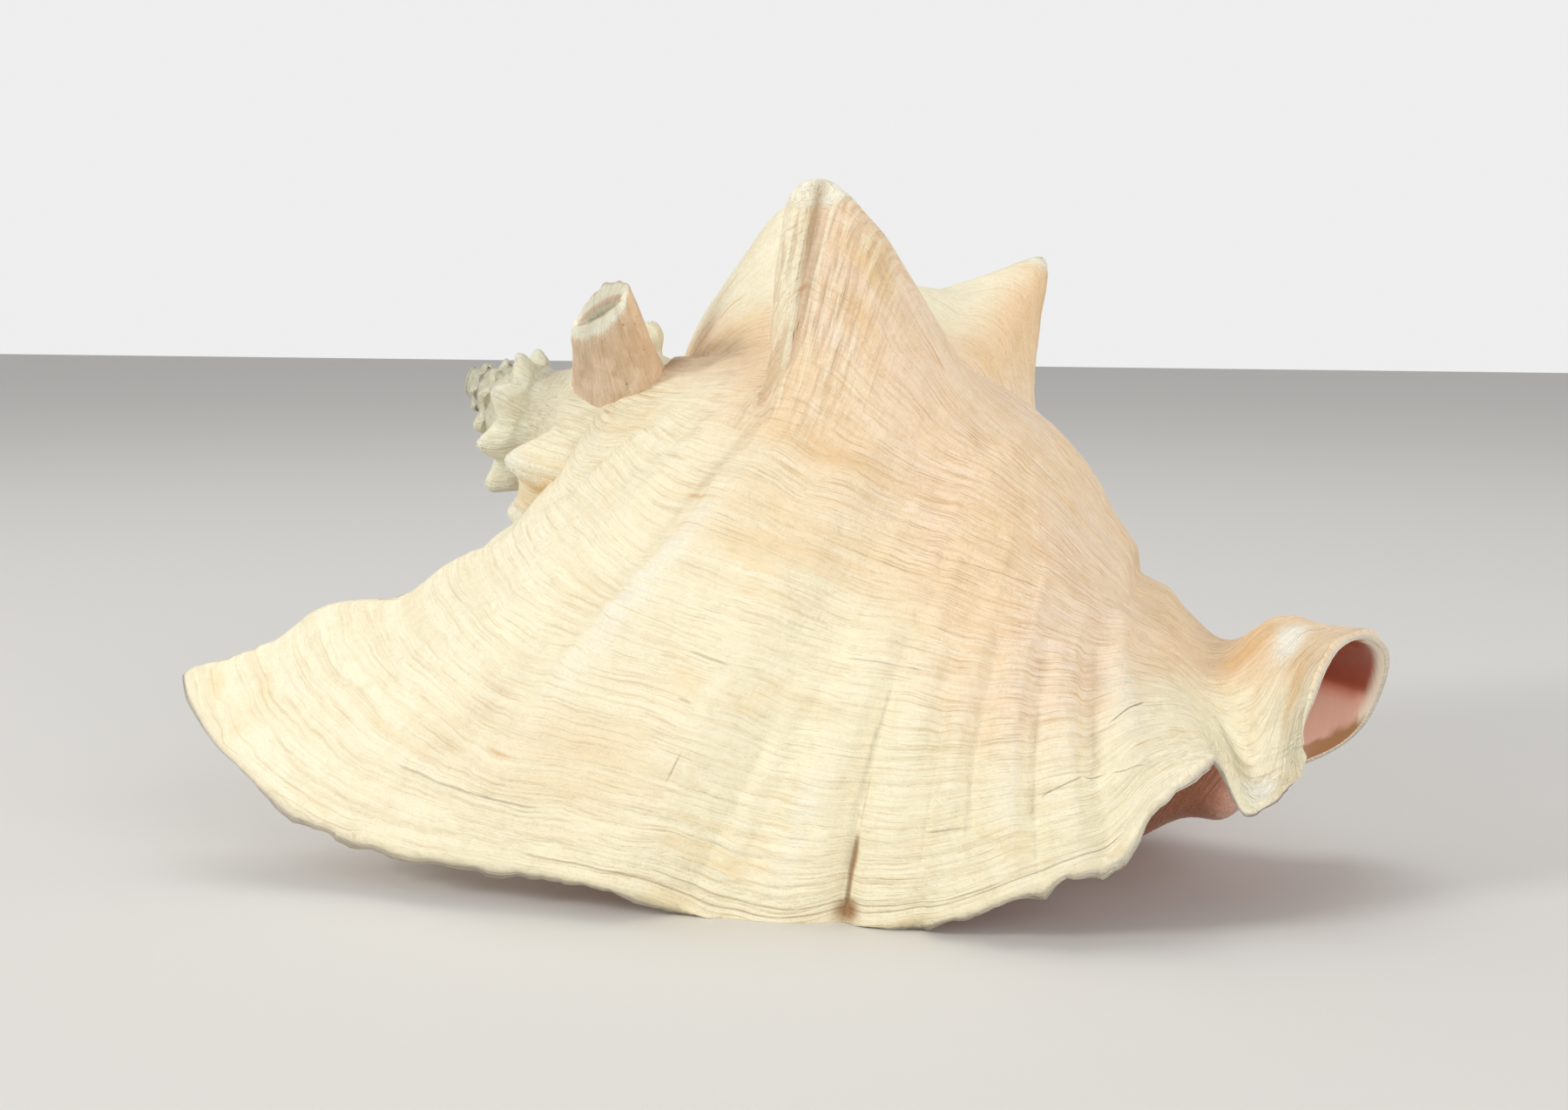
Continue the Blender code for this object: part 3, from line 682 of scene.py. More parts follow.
@dataclass
class BodyWhorl:
    """The last half whorl: a wall from deep inside to the outer lip, with its spines and the canal."""

    coil: Coil
    columns: int = 298
    rows: int = 262
    first_turn: float = -86.0
    core_end: float = -60.0
    # Thickness of the wall in cm: over most of the whorl, at the lip, at the canal and at the wing's crest,
    # then how much thicker the lip is where it rests.
    wall: float = 0.42
    lip_wall: float = 0.30
    canal_wall: float = 0.22
    crest_wall: float = 0.09
    swelling: float = 0.08
    # Where each one takes over: first turn angle and over how many degrees, or first row and over how many.
    lip_from: Pair = (150, 60)
    canal_from: Pair = (0.76, 0.16)
    crest_from: Pair = (150, 30)
    swelling_from: Pair = (190, 20)
    # Middle row and half width in rows.
    crest: Pair = (0.13, 0.045)
    swelling_rows: Pair = (0.24, 0.07)
    crest_rows: int = 5
    # How far the suture's edge and the wall's hidden end are sunk in the core, in cm.
    suture_sink: float = 0.35
    end_sink: float = 0.12
    # How far the rim bulges past the wall, as a share of its thickness, and how near it is to the outer face.
    rim_bulge: float = 0.55
    rim_outwards: float = 0.4
    # Heights in cm of the outer face's unevenness and of the waves of the wing's crest, and how far apart, in
    # degrees, the waves are.
    lumps: float = 0.050
    ripples: float = 0.016
    scallops: float = 0.10
    scallop_turn: float = 6.3
    inside_triangles: int = 34000
    spines: tuple[Spine, ...] = (
        Spine(115.5, 0.234, 28, 0.029, 0.26, 7.52, 8.36, 1.90, 0.50, 0.42, lean=0.0014, worn_from=0.84),
        Spine(66, 0.150, 32, 0.130, 0.16, 5.12, 7.02, 1.05, 0.75, 0.20, worn_from=1.5),
        Spine(40, 0.320, 27, 0.130, 0.20, 10.16, 11.15, 1.45, 1.10, 0.10, worn_from=0.86),
        Spine(0, 0.250, 25, 0.140, 0.16, 7.05, 7.60, 1.40, 1.40, 0.14),
        Spine(-42, 0.270, 26, 0.150, 0.18, 9.30, 11.15, 1.50, 1.50, 0.07),
    )
    # Broad waves of the whole wall, then ribs and furrows of its outer face alone.
    waves: tuple[Fold, ...] = (
        Fold(((118, 0.205), (165, 0.203), (185, 0.196), (230, 0.172)), 0.020, 0.13, fade=40),
        Fold(((118, 0.252), (165, 0.248), (185, 0.240), (230, 0.215)), 0.021, -0.22, fade=40),
        Fold(((118, 0.286), (165, 0.284), (185, 0.277), (230, 0.258)), 0.017, 0.17, fade=40),
        Fold(((118, 0.330), (185, 0.325), (230, 0.310)), 0.024, -0.13, fade=40),
        Fold(((118, 0.385), (230, 0.375)), 0.026, 0.13, fade=40),
        Fold(((158, 0.105), (202, 0.130)), 0.045, -0.26, fade=14),
        Fold(((30, 0.722), (140, 0.722)), 0.016, -0.26, fade=20),
        Fold(((30, 0.822), (150, 0.822)), 0.028, -0.16, fade=20),
    )
    ribs: tuple[Fold, ...] = (
        Fold(((116, 0.245), (139, 0.254)), 0.011, -0.230, fade=5),
        Fold(((114, 0.226), (141, 0.236)), 0.007, 0.102, beaded=0.6, fade=5),
        Fold(((128, 0.266), (160, 0.268)), 0.006, 0.087, beaded=0.8),
        Fold(((126, 0.283), (150, 0.284)), 0.007, -0.087),
        Fold(((129, 0.301), (147, 0.302)), 0.006, 0.072, beaded=0.8),
        Fold(((158, 0.268), (190, 0.262)), 0.006, 0.072, beaded=1.0),
        Fold(((160, 0.282), (190, 0.276)), 0.005, 0.058, beaded=1.0),
        Fold(((186, 0.367), (202, 0.373)), 0.005, -0.058, fade=3),
        Fold(((180, 0.420), (230, 0.404)), 0.006, -0.087),
        Fold(((170, 0.430), (230, 0.423)), 0.007, 0.058),
        Fold(((160, 0.468), (190, 0.466), (230, 0.462)), 0.020, 0.189, flat=True),
        Fold(((169, 0.487), (190, 0.489), (215, 0.500)), 0.007, -0.174),
        Fold(((164, 0.512), (190, 0.515), (230, 0.523)), 0.015, 0.160, flat=True),
        Fold(((174, 0.538), (230, 0.546)), 0.007, -0.131),
        Fold(((158, 0.552), (190, 0.553), (230, 0.562)), 0.011, 0.116, flat=True),
        Fold(((172, 0.562), (190, 0.568), (212, 0.582)), 0.007, -0.131),
        Fold(((160, 0.590), (230, 0.602)), 0.014, 0.160, flat=True),
        Fold(((172, 0.613), (230, 0.624)), 0.007, -0.131),
        Fold(((158, 0.638), (230, 0.648)), 0.015, 0.160, flat=True),
        Fold(((154, 0.664), (230, 0.674)), 0.008, -0.131),
        Fold(((140, 0.700), (190, 0.700), (230, 0.705)), 0.012, 0.131),
        Fold(((134, 0.480), (170, 0.484)), 0.005, 0.051, beaded=0.6),
        Fold(((136, 0.446), (170, 0.440)), 0.005, 0.043, beaded=0.6),
        Fold(((147, 0.505), (168, 0.508)), 0.005, 0.051, beaded=1.0),
        Fold(((133, 0.548), (161, 0.557)), 0.005, 0.043, beaded=0.8),
        Fold(((136, 0.600), (172, 0.603)), 0.005, 0.043, beaded=0.8),
        Fold(((140, 0.655), (172, 0.652)), 0.006, 0.043, beaded=0.6),
    )
    # Where the outer face is orange tan, where it is worn to white chalk, and where it is brown: dirt and
    # stains, and painted shade in hollows and creases.
    tan: tuple[Patch, ...] = (
        Patch(150, 0.350, 20, 0.110, 0.40),
        Patch(141.5, 0.340, 2.4, 0.130, 0.30),
        Patch(157.5, 0.360, 3.0, 0.120, 0.35),
        Patch(115, 0.862, 14, 0.020, 1.80),
        Patch(128, 0.838, 14, 0.020, 1.00),
        Patch(146, 0.955, 24, 0.020, 1.00),
        Patch(160, 0.880, 22, 0.014, 0.35),
        Patch(126, 0.310, 12, 0.050, 0.40),
        Patch(100, 0.450, 22, 0.100, 0.35),
        Patch(196, 0.310, 10, 0.060, 0.35),
        Patch(132, 0.600, 20, 0.100, 0.30),
        Patch(42, 0.360, 24, 0.050, 0.60),
    )
    pale: tuple[Patch, ...] = (
        # The first two, on the first spine's left ridge, are cream with painted light where the ridge faces
        # the lamps.
        Patch(120, 0.236, 11, 0.008, 1.0),
        Patch(130, 0.246, 8, 0.006, 0.8),
        Patch(60, 0.020, 40, 0.030, 0.5),
    )
    chalk: tuple[Patch, ...] = (
        Patch(120, 0.236, 9, 0.005, 0.35),
        Patch(131, 0.247, 7, 0.005, 0.40),
        Patch(160, 0.276, 16, 0.016, 0.42),
        Patch(180, 0.272, 16, 0.018, 0.40),
        Patch(137, 0.303, 9, 0.008, 0.35),
        Patch(116, 0.915, 22, 0.030, 0.95),
        Patch(200, 0.900, 9, 0.030, 0.45),
        Patch(172, 0.700, 22, 0.026, 0.50),
        Patch(202, 0.860, 12, 0.040, 0.60),
        Patch(196, 0.460, 14, 0.012, 0.50),
        Patch(192, 0.600, 14, 0.010, 0.45),
    )
    brown_and_shade: tuple[Patch, ...] = (
        # Painted shade on the ramp by the suture and under the second spine's foot.
        Patch(112, 0.022, 17, 0.030, 0.85),
        Patch(84, 0.050, 12, 0.030, 0.60),
        # Painted shade, with some dirt, in the first spine's channel and beside it.
        Patch(121, 0.254, 9, 0.009, 0.60),
        Patch(128, 0.266, 8, 0.008, 0.32),
        # The brown crust at the canal's chipped edge.
        Patch(-26, 0.993, 34, 0.014, 1.20),
        # Painted shade in the wing's valley.
        Patch(150, 0.250, 18, 0.007, 0.30),
        Patch(192, 0.234, 22, 0.014, 0.22),
        # Brown stains at a crack and beside it.
        Patch(208, 0.499, 2.2, 0.008, 1.00),
        Patch(200, 0.4965, 3.0, 0.003, 0.80),
        Patch(194, 0.617, 3, 0.006, 0.30),
    )
    # Where thin layers of the outer face end before the lip: turn angle, height of the step in cm.
    terraces: Table = ((187.0, 0.022), (193.5, 0.028), (198.5, 0.034), (203.0, 0.040), (206.8, 0.042))

    def turns_and_rows(self) -> tuple[Array, Array]:
        """Spaces the columns and rows about evenly over the wall, denser where it is seen."""
        fine = 801
        turns = np.linspace(self.first_turn, self.coil.lip_turn, fine)
        rows = np.linspace(0, 1, fine)
        lines = [self.coil.flared(turns, np.full_like(turns, row)) for row in (0.15, 0.3, 0.5, 0.7)]
        middle = (turns[1:] + turns[:-1]) / 2
        weights = 0.35 + 0.65 * rise(middle, 20, 40) + 1.6 * rise(middle, 185, 15)
        columns = evenly_along(np.stack(lines), weights, self.columns)
        columns = self.first_turn + columns * (self.coil.lip_turn - self.first_turn)
        lines = [self.coil.flared(np.full_like(rows, turn), rows) for turn in (90.0, 150.0, 205.0)]
        return columns, evenly_along(np.stack(lines), np.ones(fine - 1), self.rows)

    @staticmethod
    def raised_by(folds: tuple[Fold, ...], turn: Array, row: Array) -> Array:
        """Adds up the heights of folds, in centimetres."""
        return sum(fold.raised(turn, row) for fold in folds)

    def thickness(self, turn: Array, row: Array) -> Array:
        """Thickness of the wall in centimetres."""
        thick = self.wall + (self.lip_wall - self.wall) * rise(turn, *self.lip_from)
        thick = thick + (self.canal_wall - thick) * rise(row, *self.canal_from)
        thick = thick + (self.crest_wall - thick) * rise(turn, *self.crest_from) * bump_at(row, *self.crest)
        return thick + self.swelling * rise(turn, *self.swelling_from) * bump_at(row, *self.swelling_rows)

    def relief(self, turn: Array, row: Array) -> Array:
        """Fine unevenness of the outer face, in centimetres."""
        lumps = self.lumps * rough_noise(turn / 11, row * 24, 11)
        strayed = turn / 1.6 + 0.8 * noise(turn / 9, row * 9, 5)
        ripples = self.ripples * rough_noise(strayed, row * 16, 23, 2)
        layers = np.zeros_like(row)
        for at_turn, step in self.terraces:
            ragged = at_turn + 1.6 * rough_noise(row * 22, row * 0 + at_turn, 31, 4)
            layers = layers - step * rise(turn, ragged, 0.7)
        layers = layers * rise(row, 0, 0.06) * fall(row, 0.97, 0.05)
        return lumps + ripples * (0.4 + 0.9 * rise(turn, 150, 55)) + layers

    def layers(self, turn: Array, row: Array) -> tuple[Array, ...]:
        """Works out the wall's faces on a full grid of columns and rows.

        Args:
            turn: Turn angle of each grid point.
            row: Row of each grid point.

        Returns:
            Points outside, on the rim and inside, about the axis.
        """
        plain = self.coil.flared(turn, row)
        run = np.gradient(plain, axis=0)
        down = np.gradient(plain, axis=1)
        normal = unit(np.cross(run, down))
        # At the wing's sharp crest the wall goes along the mean of both sides' directions.
        crest = (rise(turn, 145, 30) * bump_at(row, *self.crest))[..., None]
        normal = unit(normal + (self.settled(normal) - normal) * np.clip(1.6 * crest, 0, 1))
        scallops = self.scallops * np.cos(math.pi * (turn - 198) / self.scallop_turn)
        scallops = scallops + self.scallops * noise(turn / 5.5, row * 5, 14)
        scallops = scallops * rise(turn, 155, 30) * bump_at(row, 0.12, 0.06)
        base = plain + spread(self.raised_by(self.waves, turn, row) + scallops, normal)
        outside = base.copy()
        for spine in self.spines:
            outside = outside + spread(spine.share(turn, row), spine.tip_from_foot(self.coil))
        own = unit(np.cross(np.gradient(outside, axis=0), np.gradient(outside, axis=1)))
        # Both faces of the wall go the same way at the crest, so that neither comes through the other.
        own = unit(own + (normal - own) * np.clip(1.8 * crest, 0, 1))
        raised = self.relief(turn, row) + self.raised_by(self.ribs, turn, row)
        outside = outside + spread(raised, own)
        sunk = self.end_sink * fall(turn, self.core_end, self.core_end - self.first_turn)
        outside = outside - spread(sunk, normal)
        # Where the outer face is carved in, the inner one gives way.
        carved = np.maximum(-0.02 - raised, 0) * rise(turn, 140, 20) * fall(row, 0.76, 0.06)
        thick = (self.thickness(turn, row) + carved)[..., None]
        inside = base - thick * normal
        # The rim bulges a little, so the edge of the lip and of the canal is round and uneven.
        ragged = 1 + 0.5 * rough_noise(row * 60, turn / 9, 41)
        beyond = spread(rise(turn, self.coil.lip_turn - 1, 1) * ragged, unit(run))
        beyond = beyond + spread(rise(row, 0.999, 0.001), unit(down))
        near = self.rim_outwards
        middle = near * outside + (1 - near) * inside + beyond * thick * self.rim_bulge
        return outside, middle, inside

    def settled(self, directions: Array) -> Array:
        """Averages directions with those of the rows beside them."""
        for _ in range(3):
            padded = np.pad(directions, ((0, 0), (self.crest_rows, self.crest_rows), (0, 0)), mode="edge")
            total = np.cumsum(padded, axis=1)
            span = 2 * self.crest_rows
            directions = (total[:, span:] - total[:, : total.shape[1] - span]) / span
        return directions

    def build(self) -> bpy.types.Object:
        """Builds the wall as one closed mesh with its growth map and masks."""
        turn, row = np.meshgrid(*self.turns_and_rows(), indexing="ij")
        outside, middle, inside = self.layers(turn, row)
        mesh = mesh_of("body_whorl", grid_mesh(self.columns, self.rows, walls=True))
        grid = read_points(mesh)
        i, j = (np.rint(grid[:, k]).astype(int) for k in (0, 1))
        depth = grid[:, 2]
        turn, row = turn[i, j], row[i, j]
        outer, inner = (depth < OUTER_DEPTH)[:, None], (depth > INNER_DEPTH)[:, None]
        points = np.where(outer, outside[i, j], np.where(inner, inside[i, j], middle[i, j]))
        edge = np.clip(1 - row / 0.02, 0, 1)[:, None]
        points[:, 1:] += self.suture_sink * self.coil.inward(points) * edge
        write_points(mesh, self.coil.in_world(points))
        write_growth_map(mesh, turn, row)
        self.write_masks(mesh, turn, row, depth)
        piece = new_piece("body_whorl", mesh)
        self.thin_inside(piece, depth > INNER_DEPTH)
        self.split_sides(piece.data)
        shade_smooth(piece.data)
        return piece

    def write_masks(self, mesh: bpy.types.Mesh, turn: Array, row: Array, depth: Array) -> None:
        """Keeps the masks that the finish reads.

        Args:
            mesh: The wall's mesh.
            turn: Turn angle of each point.
            row: Row of each point.
            depth: 0 outside, 0.5 on the rim, 1 inside.
        """
        outer = depth < OUTER_DEPTH
        worn = np.zeros_like(turn)
        for spine in self.spines:
            worn = np.maximum(worn, rise(spine.share(turn, row), spine.worn_from, 0.13))
        cream = smooth((turn - 112 - 40 * bump_at(row, 0.62, 0.16) + 22 * bump_at(row, 0.1, 0.09)) / 60)
        light = self.spine_cream(turn, row)
        pale = sum(patch.cover(turn, row) for patch in self.pale)
        calm = light
        for spine in self.spines[:3]:
            calm = np.maximum(calm, 0.85 * rise(spine.share(turn, row), 0, 0.30))
        from_lip = (self.coil.lip_turn - turn) / (26 - 16 * rise(row, 0.5, 0.1))
        # The narrow fold inside the wing's crest stays as pale as the outside.
        fold = rise(turn, 150, 20) * np.clip(2 * bump_at(row, 0.12, 0.05), 0, 1)
        rose = smooth(np.minimum(from_lip, (1.0 - row) / 0.022)) * (1 - fold)
        # The fan of cords at the first spine's foot, where the finish paints shade in the furrows and light on
        # the ridges.
        fan = np.exp(-(((turn - 124) / 17) ** 4)) * rise(row, 0.215, 0.015) * fall(row, 0.40, 0.12)
        write_masks(
            mesh,
            worn=np.where(outer, worn, 0.0),
            cream=np.maximum(cream, np.clip(light + pale, 0, 1)),
            calm=calm,
            rose=np.where(depth > INNER_DEPTH, rose, 0.0),
            depth=depth,
            old=np.zeros_like(turn),
            tan=covered(self.tan, turn, row),
            chalk=covered(self.chalk, turn, row),
            brown_and_shade=covered(self.brown_and_shade, turn, row),
            callus=np.where(outer, fall(turn, -4, 16) * rise(row, 0.28, 0.05), 0.0),
            canal=rise(row, 0.70, 0.12) * rise(turn, 22, 10),
            lining=rise(row, 0.82, 0.06) * fall(turn, 30, 14),
            fan=np.where(outer, fan, 0.0),
        )

    def spine_cream(self, turn: Array, row: Array) -> Array:
        """How creamy the second and third spine are: most on the faces that look to the apex."""
        second, third = self.spines[1], self.spines[2]
        ahead = smooth(0.5 - third.past(turn, row) / 0.10)
        third_cream = rise(third.share(turn, row), 0, 0.35) * ahead
        return np.maximum(rise(second.share(turn, row), 0, 0.45), third_cream)

    def thin_inside(self, piece: bpy.types.Object, inner: Array) -> None:
        """Brings the smooth inner face down to fewer triangles."""
        group = piece.vertex_groups.new(name="inner")
        group.add(np.flatnonzero(inner).tolist(), 1.0, "REPLACE")
        group.add(np.flatnonzero(~inner).tolist(), 0.0, "REPLACE")
        total = 2 * len(piece.data.polygons)
        chosen = 2 * (self.columns - 1) * (self.rows - 1)
        thin = piece.modifiers.new("thin_inside", "DECIMATE")
        thin.ratio = (total - chosen + self.inside_triangles) / total
        thin.vertex_group = group.name
        keep_evaluated(piece)

    @staticmethod
    def split_sides(mesh: bpy.types.Mesh) -> None:
        """Gives the inner face the second material slot."""
        depth = np.empty(len(mesh.vertices), np.float32)
        mesh.attributes["depth"].data.foreach_get("value", depth)
        for face in mesh.polygons:
            inner = min(depth[k] for k in face.vertices) > INNER_DEPTH
            face.material_index = (Side.INNER if inner else Side.OUTER).value


@dataclass
class Spire:
    """All whorls but the last, with their nodules and knobs, and the columella that they coil round."""

    coil: Coil
    first_turn: float = -1800.0
    body_start: float = -420.0
    last_turn: float = -60.0
    turn_step: float = 1.5
    # The row where the whorls' upper and lower parts meet, and how many rows of points each part has.
    seam_row: float = 0.30
    spire_rows: int = 43
    side_rows: int = 60
    knobs: tuple[Knob, ...] = (
        Knob(-146, 17, -0.45, 0.85),
        Knob(-170, 19, -0.55, 0.95),
        Knob(-290, 22, 0.5, 1.20),
        Knob(-335, 20, -0.2, 0.50),
    )
    # The nodules' first turn angle, the last one and the step between them, and their height as a share of the
    # shoulder's radius.
    nodule_turns: tuple[float, float, float] = (-345.0, -1500.0, -43.0)
    nodule_share: float = 0.30
    tan: tuple[Patch, ...] = (Patch(-140, 0.265, 18, 0.050, 1.8), Patch(-162, 0.270, 12, 0.040, 1.2))

    def nodules(self) -> list[Knob]:
        """The nodules of the early whorls, which shrink towards the apex."""
        made = []
        for turn in np.arange(*self.nodule_turns):
            height = self.nodule_share * self.coil.shoulder_and_suture(np.array([turn]))[1][0]
            made.append(Knob(turn, 20, -0.45 * height, height, after=0.075))
        return made

    def raised(self, turn: Array, row: Array) -> tuple[Array, Array]:
        """Places the whorls with their nodules and knobs.

        Args:
            turn: Turn angle of each point.
            row: Row of each point.

        Returns:
            Points about the axis, and how much of a nodule each one is, from 0 to 1.
        """
        points = self.coil.whorl(turn, row, core=True)
        tips = np.zeros_like(turn)
        for knob in (*self.nodules(), *self.knobs):
            share = knob.share(turn, row)
            points = points + spread(share, knob.push())
            tips = np.maximum(tips, share)
        return points, tips

    def build(self) -> bpy.types.Object:
        """Builds the whorls as one closed mesh with its growth map and masks."""
        shape = bmesh.new()
        turn = row = np.empty(0)
        for first, low, high, count in (
            (self.first_turn, 0.0, self.seam_row, self.spire_rows),
            (self.body_start, self.seam_row, 1.0, self.side_rows),
        ):
            turns = np.arange(first, self.last_turn + 0.1, self.turn_step)
            rows = np.linspace(low, high, count)
            mesh = mesh_of("whorls", grid_mesh(len(turns), count, walls=False))
            grid = np.rint(read_points(mesh)).astype(int)
            turn = np.concatenate([turn, turns[grid[:, 0]]])
            row = np.concatenate([row, rows[grid[:, 1]]])
            shape.from_mesh(mesh)
            bpy.data.meshes.remove(mesh)
        points, tips = self.raised(turn, row)
        mesh = mesh_of("spire", shape)
        angle = np.radians(turn)
        outward = np.stack([np.zeros_like(turn), np.cos(angle), np.sin(angle)], -1)
        points = points + spread(self.relief(turn, row), outward)
        write_points(mesh, self.coil.in_world(points))
        write_growth_map(mesh, turn, row)
        rose = rise(row, self.seam_row, 0.05) * rise(turn, -330, 60)
        write_masks(
            mesh,
            worn=0.8 * rise(tips, 0.60, 0.4),
            cream=np.full_like(turn, 1.0),
            tan=covered(self.tan, turn, row),
            callus=rose,
            lining=rise(row, 0.88, 0.06),
            rose=rose,
            depth=np.zeros_like(turn),
            old=fall(turn, -300, 160) * (1 - rose),
        )
        close_mesh(mesh, gap=2e-6, sliver=1e-7)
        shade_smooth(mesh)
        return new_piece("spire", mesh)

    def relief(self, turn: Array, row: Array) -> Array:
        """Spiral cords and unevenness of the spire, in centimetres, the same on both sides of each seam."""
        inside = rise(row, 0, 0.05) * fall(row, self.seam_row, 0.04)
        size = np.clip(self.coil.shoulder_and_suture(turn)[1], 0, 2.5)
        cords = 0.011 * np.cos(row * 2 * math.pi / 0.033) + 0.012 * rough_noise(turn / 7, row * 40, 61)
        return cords * inside * size / 2


@dataclass
class BrokenSpine:
    """The worn stub of the whorl before's spine, hollow where it broke."""

    coil: Coil
    foot: Point = (4.60, -0.90, 0.90)
    tip: Point = (3.60, -2.25, 3.17)
    # How far the broken rim drops across the stub and towards the lip, as shares of the way from its middle.
    slant: float = 0.48
    slant_near: float = 0.55
    flatness: float = 0.85
    hole_flatness: float = 0.25
    around: int = 144
    up: int = 110
    # Share of the outline, height as a share of foot to tip, radius in cm: up the side, over the rim, down.
    outline: Table = (
        (0.00, -0.10, 1.62), (0.15, 0.12, 1.30), (0.35, 0.45, 1.05), (0.52, 0.78, 0.88), (0.60, 0.92, 0.81),
        (0.64, 0.98, 0.77), (0.67, 1.00, 0.68), (0.70, 0.99, 0.56), (0.78, 0.94, 0.44), (0.90, 0.78, 0.34),
        (0.97, 0.76, 0.16), (1.00, 0.76, 0.00),
    )

    def build(self) -> bpy.types.Object:
        """Builds the stub as one closed mesh with its growth map and masks."""
        mesh = mesh_of("broken_spine", grid_mesh(self.around + 1, self.up, walls=False))
        grid = read_points(mesh)
        angle = 2 * math.pi * grid[:, 0] / self.around
        part = grid[:, 1] / (self.up - 1)
        height, radius = spline(part, np.array(self.outline)).T
        wide = np.cos(angle) * 3, np.sin(angle) * 3
        uneven = 1 + 0.05 * rough_noise(wide[0] * 0.5 + 9, wide[1] * 0.5 + height * 3, 71)
        uneven = uneven + 0.03 * noise(wide[0] * 2 + 20, wide[1] * 2 + height * 9, 72)
        radius = radius * uneven
        in_hole = rise(part, 0.62, 0.09)
        x = radius * np.cos(angle)
        y = radius * np.sin(angle) * (self.flatness + (self.hole_flatness - self.flatness) * in_hole)
        foot, tip = np.array(self.foot), np.array(self.tip)
        length = float(np.linalg.norm(tip - foot))
        z = height * length - (self.slant * x + self.slant_near * y) * rise(height, 0.35, 0.6)
        z = z + 0.05 * rough_noise(wide[0] + 5, wide[1] + 5, 73) * rise(part, 0.5, 0.12) * (1 - in_hole)
        toward = (tip - foot) / length
        side = unit(np.cross(toward, np.array([0.0, 1.0, 0.0])))
        back = np.cross(toward, side)
        points = foot + spread(x, side) + spread(y, back) + spread(z, toward)
        write_points(mesh, self.coil.in_world(points))
        write_growth_map(mesh, -95 + 40 * np.cos(angle), 0.15 + 0.08 * height)
        pale = np.maximum(bump_at(part, 0.666, 0.020), 0.6 * rise(part, 0.68, 0.1))
        write_masks(
            mesh,
            worn=0.45 * bump_at(part, 0.652, 0.024),
            cream=0.15 + 0.75 * pale,
            rose=np.zeros_like(part),
            depth=in_hole,
            old=np.ones_like(part),
        )
        close_mesh(mesh, gap=1e-7)
        shade_smooth(mesh)
        return new_piece("broken_spine", mesh)


# ---------------------------------------------------------------- finishes


def linear(colour: Rgb) -> tuple[float, float, float, float]:
    """Turns a colour written in 0 to 255 as the eye sees it into the shader's linear values."""
    parts = []
    for value in colour:
        share = value / 255
        parts.append(share / 12.92 if share <= 0.04045 else ((share + 0.055) / 1.055) ** 2.4)
    return (parts[0], parts[1], parts[2], 1.0)


class Signal:
    """What flows out of a node. Sums of signals and numbers make further nodes."""

    def __init__(self, graph: "Graph", socket: bpy.types.NodeSocket) -> None:
        """Keeps the socket and the graph that it is in."""
        self.graph = graph
        self.socket = socket

    def __add__(self, other: "Value") -> "Signal":
        """Adds."""
        return self.graph.math("ADD", self, other)

    def __sub__(self, other: "Value") -> "Signal":
        """Subtracts."""
        return self.graph.math("SUBTRACT", self, other)

    def __rsub__(self, other: float) -> "Signal":
        """Subtracts from a number."""
        return self.graph.math("SUBTRACT", other, self)

    def __mul__(self, other: "Value") -> "Signal":
        """Multiplies."""
        return self.graph.math("MULTIPLY", self, other)

    def ease(self, low: float, high: float) -> "Signal":
        """Eases from 0 to 1 as the signal goes from low to high, or the other way where high is lower."""
        falls = high < low
        ends = {"From Min": min(low, high), "From Max": max(low, high), "To Min": falls, "To Max": not falls}
        return self.graph.add("MapRange", "Result", {"Value": self, **ends}, interpolation_type="SMOOTHSTEP")

    def noise(self, scale: float, detail: float = 2.0, roughness: float = 0.5) -> "Signal":
        """Random grain from 0 to 1, where the signal says."""
        inputs = {"Vector": self, "Scale": scale, "Detail": detail, "Roughness": roughness}
        return self.graph.add("TexNoise", "Fac", inputs)

    def cells(self, scale: float) -> "Signal":
        """Distance from the nearest of scattered points."""
        return self.graph.add("TexVoronoi", "Distance", {"Vector": self, "Scale": scale})


Value = Union[Signal, float]
Colour = Union[Signal, Rgb]


